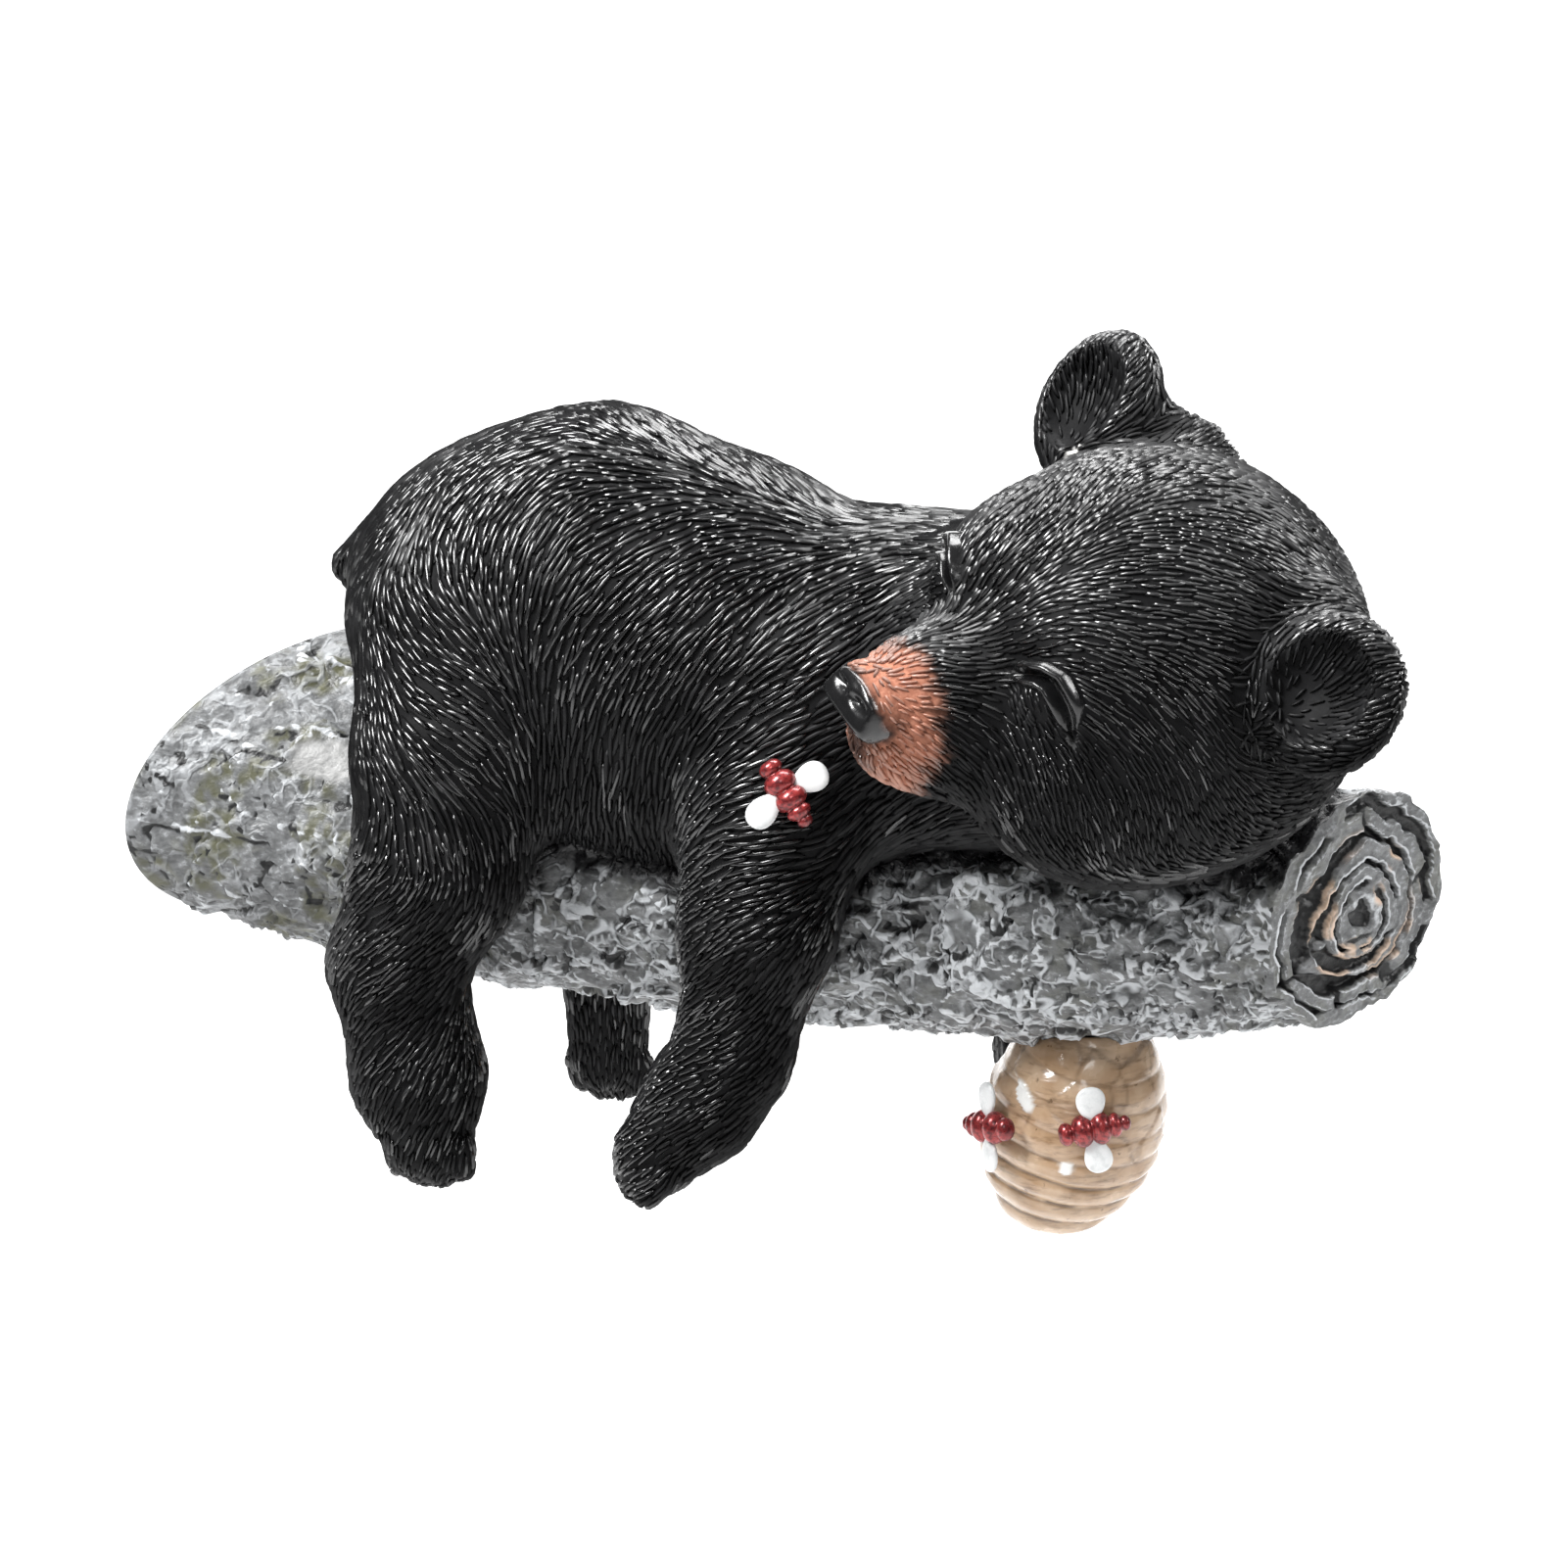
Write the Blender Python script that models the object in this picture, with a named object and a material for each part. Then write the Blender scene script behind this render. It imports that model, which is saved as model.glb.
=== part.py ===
"""A resin bear cub asleep on a branch that is flat at one end, to hang on a wall.

The wall is the plane y = 0 and the viewer is on the side of minus y. Metres, z up.
The origin lies on the flat end of the branch. The bear and the branch are
built in a frame that is turned with the branch: forward along it, left and up.
"""
import math

import bmesh
import bpy
import numpy as np

for leftover in list(bpy.data.objects):
    bpy.data.objects.remove(leftover, do_unlink=True)

# Driving sizes, in metres and degrees
BEAR_LENGTH = 0.150
BRANCH_REACH = 0.1652
BRANCH_RADIUS = 0.0178
BRANCH_ANGLE = 50.0
SAWN_TURN = 27.0
ROOT_HALF_WIDTH = 0.0272
ROOT_HALF_HEIGHT = 0.0220
HIVE_LENGTH = 0.0345
HIVE_RADIUS = 0.0140
BEE_LENGTH = 0.0112
GLUE_GAP = 0.00032

# Sizes that follow from them
WALL_ROOM = 0.0008
BARK_DEPTH = BRANCH_RADIUS * 0.055
BRANCH_SAG = BRANCH_RADIUS * 0.45
ROOT_TILT = 0.13
RING_STEP = BRANCH_RADIUS * 0.045
HIVE_ALONG = BRANCH_REACH * 0.764
HIVE_LEAN = 15.0
HIVE_COILS = 8
UNIT = BEAR_LENGTH / 150.0

turn = math.radians(BRANCH_ANGLE)
FORWARD = np.array([math.cos(turn), -math.sin(turn), 0.0])
LEFT = np.array([math.sin(turn), math.cos(turn), 0.0])
UP = np.array([0.0, 0.0, 1.0])
FRAME = np.array([FORWARD, LEFT, UP])

# The head lies on its left cheek and is turned back over the right shoulder
NOSE_WAY = np.array([-0.623, -0.760, 0.190])
EAR_WAY = np.array([0.671, -0.643, -0.369])
NOSE_WAY = NOSE_WAY / np.linalg.norm(NOSE_WAY)
EAR_WAY = EAR_WAY - NOSE_WAY * float(EAR_WAY @ NOSE_WAY)
EAR_WAY = EAR_WAY / np.linalg.norm(EAR_WAY)
CROWN_WAY = np.cross(NOSE_WAY, EAR_WAY)
HEAD_FRAME = np.array([NOSE_WAY, EAR_WAY, CROWN_WAY])
HEAD_MIDDLE = np.array([135.0, -12.2, 36.8])

# The bear's limbs and trunk as tapered rolls. Each has two ends in the turned frame,
# a radius at each end, and how softly it runs into what came before. There are 150
# units to the bear's length.
ROLLS = (
    ("rump", (31.0, 0.0, 34.2), (44.0, 0.0, 34.0), 24.4, 30.3, 4.0),
    ("loin", (44.0, 0.0, 34.0), (64.5, -1.0, 28.8), 30.3, 29.6, 4.0),
    ("chest", (64.5, -1.0, 28.8), (86.0, -2.0, 25.0), 29.8, 25.0, 4.0),
    ("neck", (86.0, -2.0, 25.5), (112.0, -4.0, 29.0), 25.0, 24.0, 5.0),
    ("withers", (93.0, 6.0, 34.8), (103.0, 5.0, 35.4), 16.5, 16.5, 6.0),
    ("belly", (40.0, -0.5, 19.0), (76.0, -0.5, 17.0), 24.8, 24.4, 8.0),
    ("far shoulder", (92.0, 14.0, 27.0), (97.0, 20.0, 20.0), 18.0, 15.0, 6.0),
    ("far upper arm", (97.0, 22.0, 18.0), (102.0, 28.5, -2.0), 14.0, 11.5, 6.0),
    ("far forearm", (102.0, 28.5, -2.0), (108.0, 30.5, -26.0), 11.5, 9.0, 3.0),
    ("far forepaw", (108.0, 30.5, -26.0), (109.0, 29.5, -42.0), 9.0, 7.2, 3.0),
    ("near shoulder", (86.0, -13.0, 26.0), (81.5, -23.0, 13.0), 18.0, 14.0, 7.0),
    ("near upper arm", (81.5, -23.0, 13.0), (80.8, -29.5, -3.0), 14.0, 11.8, 4.0),
    ("near forearm", (81.0, -29.5, -3.0), (77.8, -32.5, -23.5), 11.2, 8.5, 3.0),
    ("near palm", (77.8, -32.5, -23.5), (73.4, -34.5, -31.0), 8.5, 8.5, 3.0),
    ("near forepaw", (73.4, -34.5, -31.0), (67.2, -36.5, -39.0), 8.5, 6.6, 3.0),
    ("near haunch", (31.0, -11.0, 30.0), (31.0, -22.0, 16.0), 20.0, 15.5, 6.0),
    ("near thigh", (31.0, -22.0, 16.0), (30.0, -29.0, 0.0), 15.5, 12.6, 5.0),
    ("near shin", (29.6, -29.0, 0.0), (24.0, -32.0, -15.5), 12.6, 10.2, 4.0),
    ("near hock", (24.0, -32.0, -15.5), (25.8, -32.0, -26.0), 10.2, 9.2, 3.0),
    ("near heel", (25.8, -32.0, -26.0), (27.2, -32.5, -33.5), 9.2, 9.9, 3.0),
    ("near foot", (27.2, -32.5, -33.5), (29.0, -33.8, -42.6), 9.9, 7.0, 3.0),
    ("far haunch", (38.0, 10.0, 29.0), (38.0, 17.0, 17.0), 18.5, 14.5, 6.0),
    ("far thigh", (38.0, 17.0, 17.0), (37.0, 24.0, -2.0), 14.5, 11.4, 5.0),
    ("far shin", (37.0, 24.0, -2.0), (37.0, 26.0, -26.0), 11.4, 8.4, 4.0),
    ("far foot", (37.0, 26.0, -26.0), (37.2, 25.5, -51.6), 8.2, 6.2, 3.0),
    ("tail", (9.5, -1.5, 39.0), (5.5, -2.0, 37.5), 4.2, 2.6, 5.0),
)
# Toes: the end of a paw, which way the toes point, which way they spread, and their size
PAWS = (
    ((67.2, -37.0, -39.0), (-0.62, -0.25, -0.74), (0.55, -0.78, -0.22), 6.0, 3.1),
    ((29.0, -34.2, -42.4), (0.20, -0.15, -0.97), (0.93, -0.30, 0.18), 6.8, 3.2),
    ((109.0, 29.5, -42.0), (0.05, 0.05, -1.0), (0.98, 0.1, 0.0), 6.4, 3.1),
    ((37.2, 25.5, -51.6), (0.1, 0.05, -1.0), (0.98, 0.1, 0.0), 5.8, 2.9),
)
# The head as balls in its own frame: towards the nose, towards the left ear, to the crown
HEAD_BALLS = (
    ("skull", (-0.5, 0.0, 2.0), (32.6, 32.5, 31.5), 8.0),
    ("left cheek", (9.5, 12.0, -8.0), (22.5, 16.0, 18.0), 6.0),
    ("right cheek", (9.0, -13.5, -9.5), (23.0, 18.5, 20.0), 6.0),
    ("left brow", (18.0, 10.5, 9.5), (14.0, 12.0, 12.0), 5.0),
    ("right brow", (18.0, -10.5, 9.5), (14.0, 12.0, 12.0), 5.0),
    ("muzzle root", (28.0, 0.0, -6.0), (14.5, 13.2, 11.6), 7.0),
    ("muzzle", (36.5, 0.0, -6.8), (12.0, 10.2, 10.2), 5.0),
    ("chin", (31.0, 0.0, -13.8), (14.0, 8.4, 5.8), 4.0),
    ("nose", (46.6, 0.0, -5.4), (4.6, 6.6, 5.2), 1.2),
    ("left eyelid", (27.0, 13.0, 5.5), (5.5, 4.2, 4.2), 2.0),
    ("right eyelid", (27.0, -13.0, 5.5), (5.5, 4.2, 4.2), 2.0),
)
EAR_PLACE = (-1.1, 34.5, 22.8)
EAR_SIZE = (5.4, 11.7, 12.3)
EAR_HOLLOW = (4.6, 7.9, 8.4)
EAR_BACK = (-9.0, 20.0, 24.0)


def placed(points):
    """Points of the turned frame, in the room's frame."""
    return np.asarray(points) @ FRAME


def blend(first, second, soft):
    """The nearer of two distances, rounded where they meet."""
    reach = np.maximum(soft - np.abs(first - second), 0.0) / soft
    return np.minimum(first, second) - reach * reach * soft * 0.25


def carve(first, second, soft):
    """The first form with the second taken away, rounded at the rim."""
    return -blend(-first, second, soft)


def roll_distance(points, start, end, start_radius, end_radius):
    """Distance to a tapered roll with round ends."""
    start = np.asarray(start)
    axis = np.asarray(end) - start
    share = np.clip((points - start) @ axis / float(axis @ axis), 0.0, 1.0)
    nearest = start + share[:, None] * axis
    radius = start_radius + (end_radius - start_radius) * share
    return np.linalg.norm(points - nearest, axis=1) - radius


def ball_distance(points, middle, radii):
    """Distance to a stretched ball, good near its skin."""
    offset = points - np.asarray(middle)
    radii = np.asarray(radii)
    near = np.linalg.norm(offset / radii, axis=1)
    slope = np.linalg.norm(offset / (radii * radii), axis=1)
    return near * (near - 1.0) / np.maximum(slope, 1e-6)


def ear_frame(side):
    """The axes of one ear in the head's frame. Side is 1 for the left, -1 for the right."""
    facing = np.array([0.93, side * 0.12, 0.33])
    facing = facing / np.linalg.norm(facing)
    top = np.array([0.0, side * 0.45, 0.89])
    top = top - facing * float(top @ facing)
    top = top / np.linalg.norm(top)
    return np.array([facing, np.cross(top, facing), top])


def head_distance(points):
    """Distance to the head, ears and all."""
    local = (points - HEAD_MIDDLE) @ HEAD_FRAME.T
    distance = np.full(len(points), 1e3)
    for _name, middle, radii, soft in HEAD_BALLS:
        distance = blend(distance, ball_distance(local, middle, radii), soft)
    for side in (1.0, -1.0):
        place = np.array(EAR_PLACE) * (1.0, side, 1.0)
        axes = ear_frame(side)
        seen = (local - place) @ axes.T
        outside = ball_distance(seen, (0.0, 0.0, 0.0), EAR_SIZE)
        hollow = ball_distance(seen, (4.4, 0.0, 0.6), EAR_HOLLOW)
        back = np.array(EAR_BACK) * (1.0, side, 1.0)
        distance = blend(distance, roll_distance(local, place - axes[0] * 3.0, back, 5.6, 6.4), 5.0)
        distance = blend(distance, outside, 4.0)
        distance = carve(distance, hollow, 1.2)
    return distance


def bear_distance(points):
    """Distance to the whole bear, in units of the turned frame."""
    distance = np.full(len(points), 1e3)
    for _name, start, end, start_radius, end_radius, soft in ROLLS:
        roll = roll_distance(points, start, end, start_radius, end_radius)
        distance = blend(distance, roll, soft)
    for end, point_way, spread_way, spread, size in PAWS:
        for toe in range(4):
            share = (toe - 1.5) / 1.5
            middle = np.array(end) + np.array(spread_way) * spread * share * 0.82
            middle = middle + np.array(point_way) * (5.6 - 1.3 * share * share)
            back = middle - np.array(point_way) * 3.0
            roll = roll_distance(points, back, middle, size * 0.9, size * 0.8)
            distance = blend(distance, roll, 1.2)
    distance = blend(distance, head_distance(points), 6.0)
    behind = WALL_ROOM / UNIT + placed(points)[:, 1]
    return carve(distance, -behind, 2.0)


def downhill(field, points, step):
    """The slope of a field at some points."""
    slope = np.empty_like(points)
    for axis in range(3):
        shift = np.zeros(3)
        shift[axis] = step
        slope[:, axis] = field(points + shift) - field(points - shift)
    return slope / (2.0 * step)


def settle(field, points, rounds):
    """Move points along the slope until they lie on the field's skin."""
    for _ in range(rounds):
        slope = downhill(field, points, 0.05)
        steep = np.maximum((slope * slope).sum(axis=1), 0.25)
        move = (field(points) / steep)[:, None] * slope
        length = np.linalg.norm(move, axis=1)
        move = move * np.minimum(1.0, 1.5 / np.maximum(length, 1e-9))[:, None]
        points = points - move
    return points


def skin(field, low, high, step):
    """Vertices and four-sided faces of the surface where a field is zero."""
    counts = [int(math.ceil((high[axis] - low[axis]) / step)) + 1 for axis in range(3)]
    lines = [low[axis] + step * np.arange(counts[axis]) for axis in range(3)]
    values = np.empty(counts)
    for index, value in enumerate(lines[0]):
        side, top = np.meshgrid(lines[1], lines[2], indexing="ij")
        sheet = np.column_stack([np.full(side.size, value), side.ravel(), top.ravel()])
        values[index] = field(sheet).reshape(counts[1:])
    cells = [count - 1 for count in counts]
    total = np.zeros((cells[0] * cells[1] * cells[2], 3))
    number = np.zeros(len(total))
    quads = []
    for axis in range(3):
        first = np.moveaxis(values, axis, 0)[:-1]
        second = np.moveaxis(values, axis, 0)[1:]
        crossing = np.argwhere((first < 0.0) != (second < 0.0))
        low_value = first[tuple(crossing.T)]
        high_value = second[tuple(crossing.T)]
        share = low_value / (low_value - high_value)
        order = [axis] + [other for other in range(3) if other != axis]
        index = np.empty_like(crossing)
        for place, original in enumerate(order):
            index[:, original] = crossing[:, place]
        point = index.astype(float)
        point[:, axis] += share
        across, along = (axis + 1) % 3, (axis + 2) % 3
        corners = []
        for back_across, back_along in ((1, 1), (0, 1), (0, 0), (1, 0)):
            cell = index.copy()
            cell[:, across] -= back_across
            cell[:, along] -= back_along
            flat = (cell[:, 0] * cells[1] + cell[:, 1]) * cells[2] + cell[:, 2]
            np.add.at(total, flat, point)
            np.add.at(number, flat, 1.0)
            corners.append(flat)
        quad = np.column_stack(corners)
        inward = low_value >= 0.0
        quad[inward] = quad[inward][:, ::-1]
        quads.append(quad)
    used = np.flatnonzero(number)
    renumber = np.full(len(total), -1)
    renumber[used] = np.arange(len(used))
    vertices = total[used] / number[used][:, None] * step + np.asarray(low)
    return vertices, renumber[np.vstack(quads)]


def make_object(name, vertices, faces, material, collection):
    """A mesh object from vertices in the room's frame."""
    mesh = bpy.data.meshes.new(name)
    mesh.from_pydata([tuple(vertex) for vertex in vertices], [], [tuple(face) for face in faces])
    mesh.validate()
    mesh.materials.append(material)
    flat = bmesh.new()
    flat.from_mesh(mesh)
    bmesh.ops.triangulate(flat, faces=flat.faces)
    flat.to_mesh(mesh)
    flat.free()
    item = bpy.data.objects.new(name, mesh)
    collection.objects.link(item)
    return item


def make_material(name, colour, roughness):
    """A plain Principled material."""
    material = bpy.data.materials.new(name)
    material.use_nodes = True
    shader = material.node_tree.nodes["Principled BSDF"]
    shader.inputs["Base Color"].default_value = (*colour, 1.0)
    shader.inputs["Roughness"].default_value = roughness
    return material


def add_cut(item, cutter, operation):
    """Join or cut one solid with another."""
    change = item.modifiers.new("fit " + cutter.name, "BOOLEAN")
    change.operation = operation
    change.solver = "EXACT"
    change.object = cutter


def smooth_step(low, high, value):
    """Zero below low, one above high, smooth between."""
    share = np.clip((value - low) / (high - low), 0.0, 1.0)
    return share * share * (3.0 - 2.0 * share)


def branch_middle(along):
    """How high the middle line of the branch is at a share of its length."""
    drop = 1.0 - np.exp(-along / 0.13)
    rise = smooth_step(0.72, 1.05, along)
    return BRANCH_SAG * (0.36 - 1.36 * drop + 0.90 * rise)


def bark(along, around):
    """Depth of the bark's scales, from minus one to one."""
    row = along * 15.0
    wave = np.sin(around * 7.0 + 2.6 * np.sin(row * 1.7) + 0.9 * row)
    scale = np.sin(row * 5.1 + 2.0 * np.sin(around * 3.0 + row)) * np.cos(around * 11.0 - row * 2.3)
    return 0.55 * wave + 0.65 * scale


def branch_ring(along, around, grow):
    """Points of the branch's skin at one share of its length, in the turned frame."""
    sine, cosine = np.sin(around), np.cos(around)
    wall_slope = math.cos(turn) / math.sin(turn)
    saw_slope = math.tan(math.radians(SAWN_TURN))
    radius = BRANCH_RADIUS * (1.28 - 0.28 * along)
    leave = np.exp(-along * BRANCH_REACH * math.sin(turn) / (BRANCH_RADIUS * 0.62))
    wide = radius + (ROOT_HALF_WIDTH - radius) * leave
    tall = radius + (ROOT_HALF_HEIGHT - radius) * leave
    relief = BARK_DEPTH * bark(along, around) * smooth_step(0.0, 0.04, along)
    left = (wide + relief + grow) * cosine
    start = wall_slope * left
    finish = BRANCH_REACH + saw_slope * left
    forward = start + (finish - start) * along
    up = (tall + relief + grow) * sine + branch_middle(along) + ROOT_TILT * leave * left
    return np.column_stack([forward, left, up])


def branch_mesh(stations, sides, grow):
    """The branch: bark along it, a flat back end, and growth rings on the sawn end."""
    around = np.arange(sides) * 2.0 * math.pi / sides
    rings = []
    for station in range(stations):
        along = np.full(sides, station / (stations - 1.0))
        rings.append(branch_ring(along, around, grow))
    if grow:
        reach = np.array([grow * 6.0, 0.0, 0.0])
        rings = [rings[0] - reach] + rings + [rings[-1] + reach]
    else:
        rim = rings[-1]
        middle = rim.mean(axis=0)
        away = np.array([math.cos(math.radians(SAWN_TURN)), -math.sin(math.radians(SAWN_TURN)), 0.0])
        wobble = 1.0 + 0.05 * np.sin(around * 3.0 + 0.6)
        for number, share in enumerate((0.93, 0.80, 0.72, 0.60, 0.52, 0.40, 0.32, 0.18)):
            depth = RING_STEP * (0.3 if number % 2 == 0 else -1.0)
            share_round = share * (wobble if share < 0.9 else 1.0)
            ring = middle + (rim - middle) * np.reshape(share_round * np.ones(sides), (-1, 1))
            rings.append(ring + away * depth)
    vertices = np.vstack(rings)
    faces = []
    for row in range(len(rings) - 1):
        for side in range(sides):
            after = (side + 1) % sides
            low, high = row * sides, (row + 1) * sides
            faces.append((low + side, low + after, high + after))
            faces.append((low + side, high + after, high + side))
    faces.append(tuple(reversed(range(sides))))
    faces.append(tuple(len(vertices) - sides + side for side in range(sides)))
    return vertices, faces


def turned_mesh(profile, sides):
    """A closed turned solid from a list of radius and height pairs, first and last on the axis."""
    vertices = [(0.0, 0.0, profile[0][1])]
    for radius, height in profile[1:-1]:
        for side in range(sides):
            angle = side * 2.0 * math.pi / sides
            vertices.append((radius * math.cos(angle), radius * math.sin(angle), height))
    vertices.append((0.0, 0.0, profile[-1][1]))
    last = len(vertices) - 1
    rows = len(profile) - 2
    faces = []
    for side in range(sides):
        after = (side + 1) % sides
        faces.append((0, 1 + after, 1 + side))
        faces.append((last, 1 + (rows - 1) * sides + side, 1 + (rows - 1) * sides + after))
        for row in range(rows - 1):
            low = 1 + row * sides
            faces.append((low + side, low + after, low + sides + after, low + sides + side))
    return np.array(vertices), faces


def hive_profile():
    """Radius and height pairs of the hive, from its foot up, with one swell per coil."""
    profile = [(0.0, -HIVE_LENGTH)]
    steps = HIVE_COILS * 2
    for step in range(1, steps + 1):
        share = step / (steps + 0.5)
        body = math.sin(math.pi * min(1.0, 0.06 + share * 0.80)) ** 0.62
        coil = HIVE_RADIUS * (0.030 if step % 2 else -0.030)
        profile.append((HIVE_RADIUS * body + coil, HIVE_LENGTH * (share - 1.0)))
    profile.append((HIVE_RADIUS * 0.55, BRANCH_RADIUS * 0.35))
    profile.append((0.0, BRANCH_RADIUS * 0.35))
    return profile


def hive_frame():
    """Where the hive hangs: its top in the turned frame and its three axes."""
    lean = math.radians(HIVE_LEAN)
    along = np.array([math.cos(lean), 0.0, -math.sin(lean)])
    axis = np.array([math.sin(lean), 0.0, math.cos(lean)])
    axes = np.array([along, (0.0, 1.0, 0.0), axis])
    under = float(branch_middle(HIVE_ALONG / BRANCH_REACH)) - BRANCH_RADIUS * 1.02
    return np.array([HIVE_ALONG, 0.0, under]), axes


def bee_mesh(sides):
    """A bee's ringed body lying along x, belly down on z = 0, without its wings."""
    length, thick = BEE_LENGTH, BEE_LENGTH * 0.225
    profile = [(0.0, 0.0)]
    for share, size in ((0.04, 0.50), (0.14, 0.80), (0.24, 0.64), (0.35, 0.98), (0.46, 0.92),
                        (0.52, 0.76), (0.61, 1.0), (0.69, 0.84), (0.77, 0.90), (0.85, 0.66), (0.94, 0.44)):
        profile.append((thick * size, length * share))
    profile.append((0.0, length))
    vertices, faces = turned_mesh(profile, sides)
    height = vertices[:, 0] * 0.86 + thick * 0.80
    return np.column_stack([vertices[:, 2] - length * 0.5, vertices[:, 1], height]), faces


def wing_mesh(root, way, length, width, lift):
    """One thick rounded wing blade."""
    sides = 8
    way = np.array([way[0], way[1], 0.0]) / math.hypot(way[0], way[1])
    across = np.array([-way[1], way[0], 0.0])
    rise = np.array([0.0, 0.0, 1.0])
    middle = np.asarray(root) + way * length * 0.5 + rise * lift
    vertices = []
    for level, shrink in ((-0.5, 0.72), (0.0, 1.0), (0.5, 0.72)):
        for side in range(sides):
            angle = side * 2.0 * math.pi / sides
            reach = math.cos(angle) * length * 0.5 * shrink
            spread = math.sin(angle) * width * 0.5 * shrink * (0.86 + 0.2 * math.cos(angle))
            vertices.append(middle + way * reach + across * spread + rise * level * BEE_LENGTH * 0.11)
    faces = [tuple(reversed(range(sides))), tuple(range(2 * sides, 3 * sides))]
    for row in range(2):
        for side in range(sides):
            after = (side + 1) % sides
            low = row * sides
            faces.append((low + side, low + after, low + sides + after, low + sides + side))
    return np.array(vertices), faces


# The collections: the object's own and one for the cutters
group = bpy.data.collections.new("sleeping bear cub on a branch")
cutters = bpy.data.collections.new("cutters")
for one in (group, cutters):
    bpy.context.scene.collection.children.link(one)
cutters.hide_render = True

fur_resin = make_material("black fur resin", (0.012, 0.012, 0.013), 0.38)
bark_resin = make_material("grey bark resin", (0.24, 0.25, 0.25), 0.62)
hive_resin = make_material("tan hive resin", (0.52, 0.36, 0.20), 0.28)
bee_resin = make_material("red bee resin", (0.25, 0.02, 0.02), 0.35)
cutter_material = make_material("cutter", (0.8, 0.2, 0.8), 0.5)

# The bear
low = np.array([-2.0, -66.0, -66.0])
high = np.array([196.0, 52.0, 96.0])
points, quads = skin(bear_distance, low, high, 1.5)
points = settle(bear_distance, points, 2)
bear = make_object("bear", placed(points * UNIT), quads, fur_resin, group)
thin = bear.modifiers.new("fewer faces", "DECIMATE")
thin.ratio = 4500.0 / (2.0 * len(quads))
thin.use_collapse_triangulate = True

# The branch, and a swollen copy that cuts room for it in what sits on it
STATIONS, SIDES = 28, 32
vertices, faces = branch_mesh(STATIONS, SIDES, 0.0)
branch = make_object("branch", placed(vertices), faces, bark_resin, group)
vertices, faces = branch_mesh(STATIONS, SIDES, GLUE_GAP)
room = make_object("branch room", placed(vertices), faces, cutter_material, cutters)
room.display_type = "WIRE"
add_cut(bear, room, "DIFFERENCE")

# The hive under the branch
vertices, faces = turned_mesh(hive_profile(), 22)
hive_top, hive_axes = hive_frame()
hive = make_object("beehive", placed(vertices @ hive_axes + hive_top), faces, hive_resin, group)
add_cut(hive, room, "DIFFERENCE")


def bear_surface(start):
    """The point of the bear's skin nearest to a start point, and the way out of it there."""
    point = settle(bear_distance, np.array([start], dtype=float), 12)
    way = downhill(bear_distance, point, 0.2)[0]
    return point[0] * UNIT, way / np.linalg.norm(way)


def hive_surface(angle_deg, share):
    """A point just off the hive's coils, at an angle about its axis and a share of its height."""
    radii = [pair[0] for pair in hive_profile()]
    heights = [pair[1] for pair in hive_profile()]
    height = HIVE_LENGTH * (share - 1.0)
    radius = float(np.interp(height, heights, radii))
    above = float(np.interp(height + 0.003, heights, radii))
    below = float(np.interp(height - 0.003, heights, radii))
    slope = (above - below) / 0.006
    angle = math.radians(angle_deg)
    local = np.array([radius * math.cos(angle), radius * math.sin(angle), height])
    way = np.array([math.cos(angle), math.sin(angle), -slope])
    return local @ hive_axes + hive_top, (way / np.linalg.norm(way)) @ hive_axes


def add_bee(name, place, out_way, head_way, wings, clear):
    """A bee whose belly is a glue gap off the skin it sits on."""
    up_way = out_way / np.linalg.norm(out_way)
    head_way = np.asarray(head_way) - up_way * float(np.asarray(head_way) @ up_way)
    head_way = head_way / np.linalg.norm(head_way)
    axes = np.array([-head_way, np.cross(up_way, -head_way), up_way])
    origin = place + up_way * (GLUE_GAP + clear)
    body, body_faces = bee_mesh(10)
    bee = make_object(name, placed(body @ axes + origin), body_faces, bee_resin, group)
    for number, (root, way, length, width) in enumerate(wings):
        start = np.array(root) * BEE_LENGTH
        blade, blade_faces = wing_mesh(start, way, length * BEE_LENGTH, width * BEE_LENGTH, BEE_LENGTH * 0.20)
        wing_name = name + " wing " + str(number)
        wing = make_object(wing_name, placed(blade @ axes + origin), blade_faces, cutter_material, cutters)
        wing.display_type = "WIRE"
        add_cut(bee, wing, "UNION")
    return bee


arm_place, arm_way = bear_surface((87.5, -36.0, 20.5))
add_bee("bee_on_foreleg", arm_place, arm_way, (-0.42, -0.12, 0.78),
        (((-0.05, 0.12, 0.0), (0.15, 1.0), 0.50, 0.46), ((-0.05, -0.12, 0.0), (0.25, -1.0), 0.54, 0.44)), 0.0)
front_place, front_way = hive_surface(-68.0, 0.72)
add_bee("bee_on_hive_front", front_place, front_way, (-1.0, 0.0, -0.20),
        (((-0.03, 0.12, 0.0), (0.1, 1.0), 0.48, 0.46), ((-0.05, -0.12, 0.0), (0.1, -1.0), 0.50, 0.44)), 0.0)
side_place, side_way = hive_surface(-128.0, 0.545)
add_bee("bee_on_hive_side", side_place, side_way, (0.72, -0.69, 0.25),
        (((-0.05, 0.12, 0.0), (-0.1, 1.0), 0.50, 0.34), ((-0.05, -0.12, 0.0), (0.1, -1.0), 0.50, 0.38)), 0.0)

# Every solid ends as plain triangles
for item in group.objects:
    sides = item.modifiers.new("triangles", "TRIANGULATE")
    sides.quad_method = "BEAUTY"
    sides.ngon_method = "BEAUTY"
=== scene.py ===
"""A resin bear cub asleep on a branch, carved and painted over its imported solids.

Shapes are worked out in millimetres in a frame that is turned with the branch: forward
along it, left, which is the far side, and up. They become metres in the room's frame
when a mesh is made. The wall is the plane y = 0, and the viewer stands at minus y.
"""
from __future__ import annotations

import logging
import math
from dataclasses import dataclass
from enum import Enum
from typing import Callable

import bmesh
import bpy
import numpy as np
from mathutils import Matrix, Vector

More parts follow.
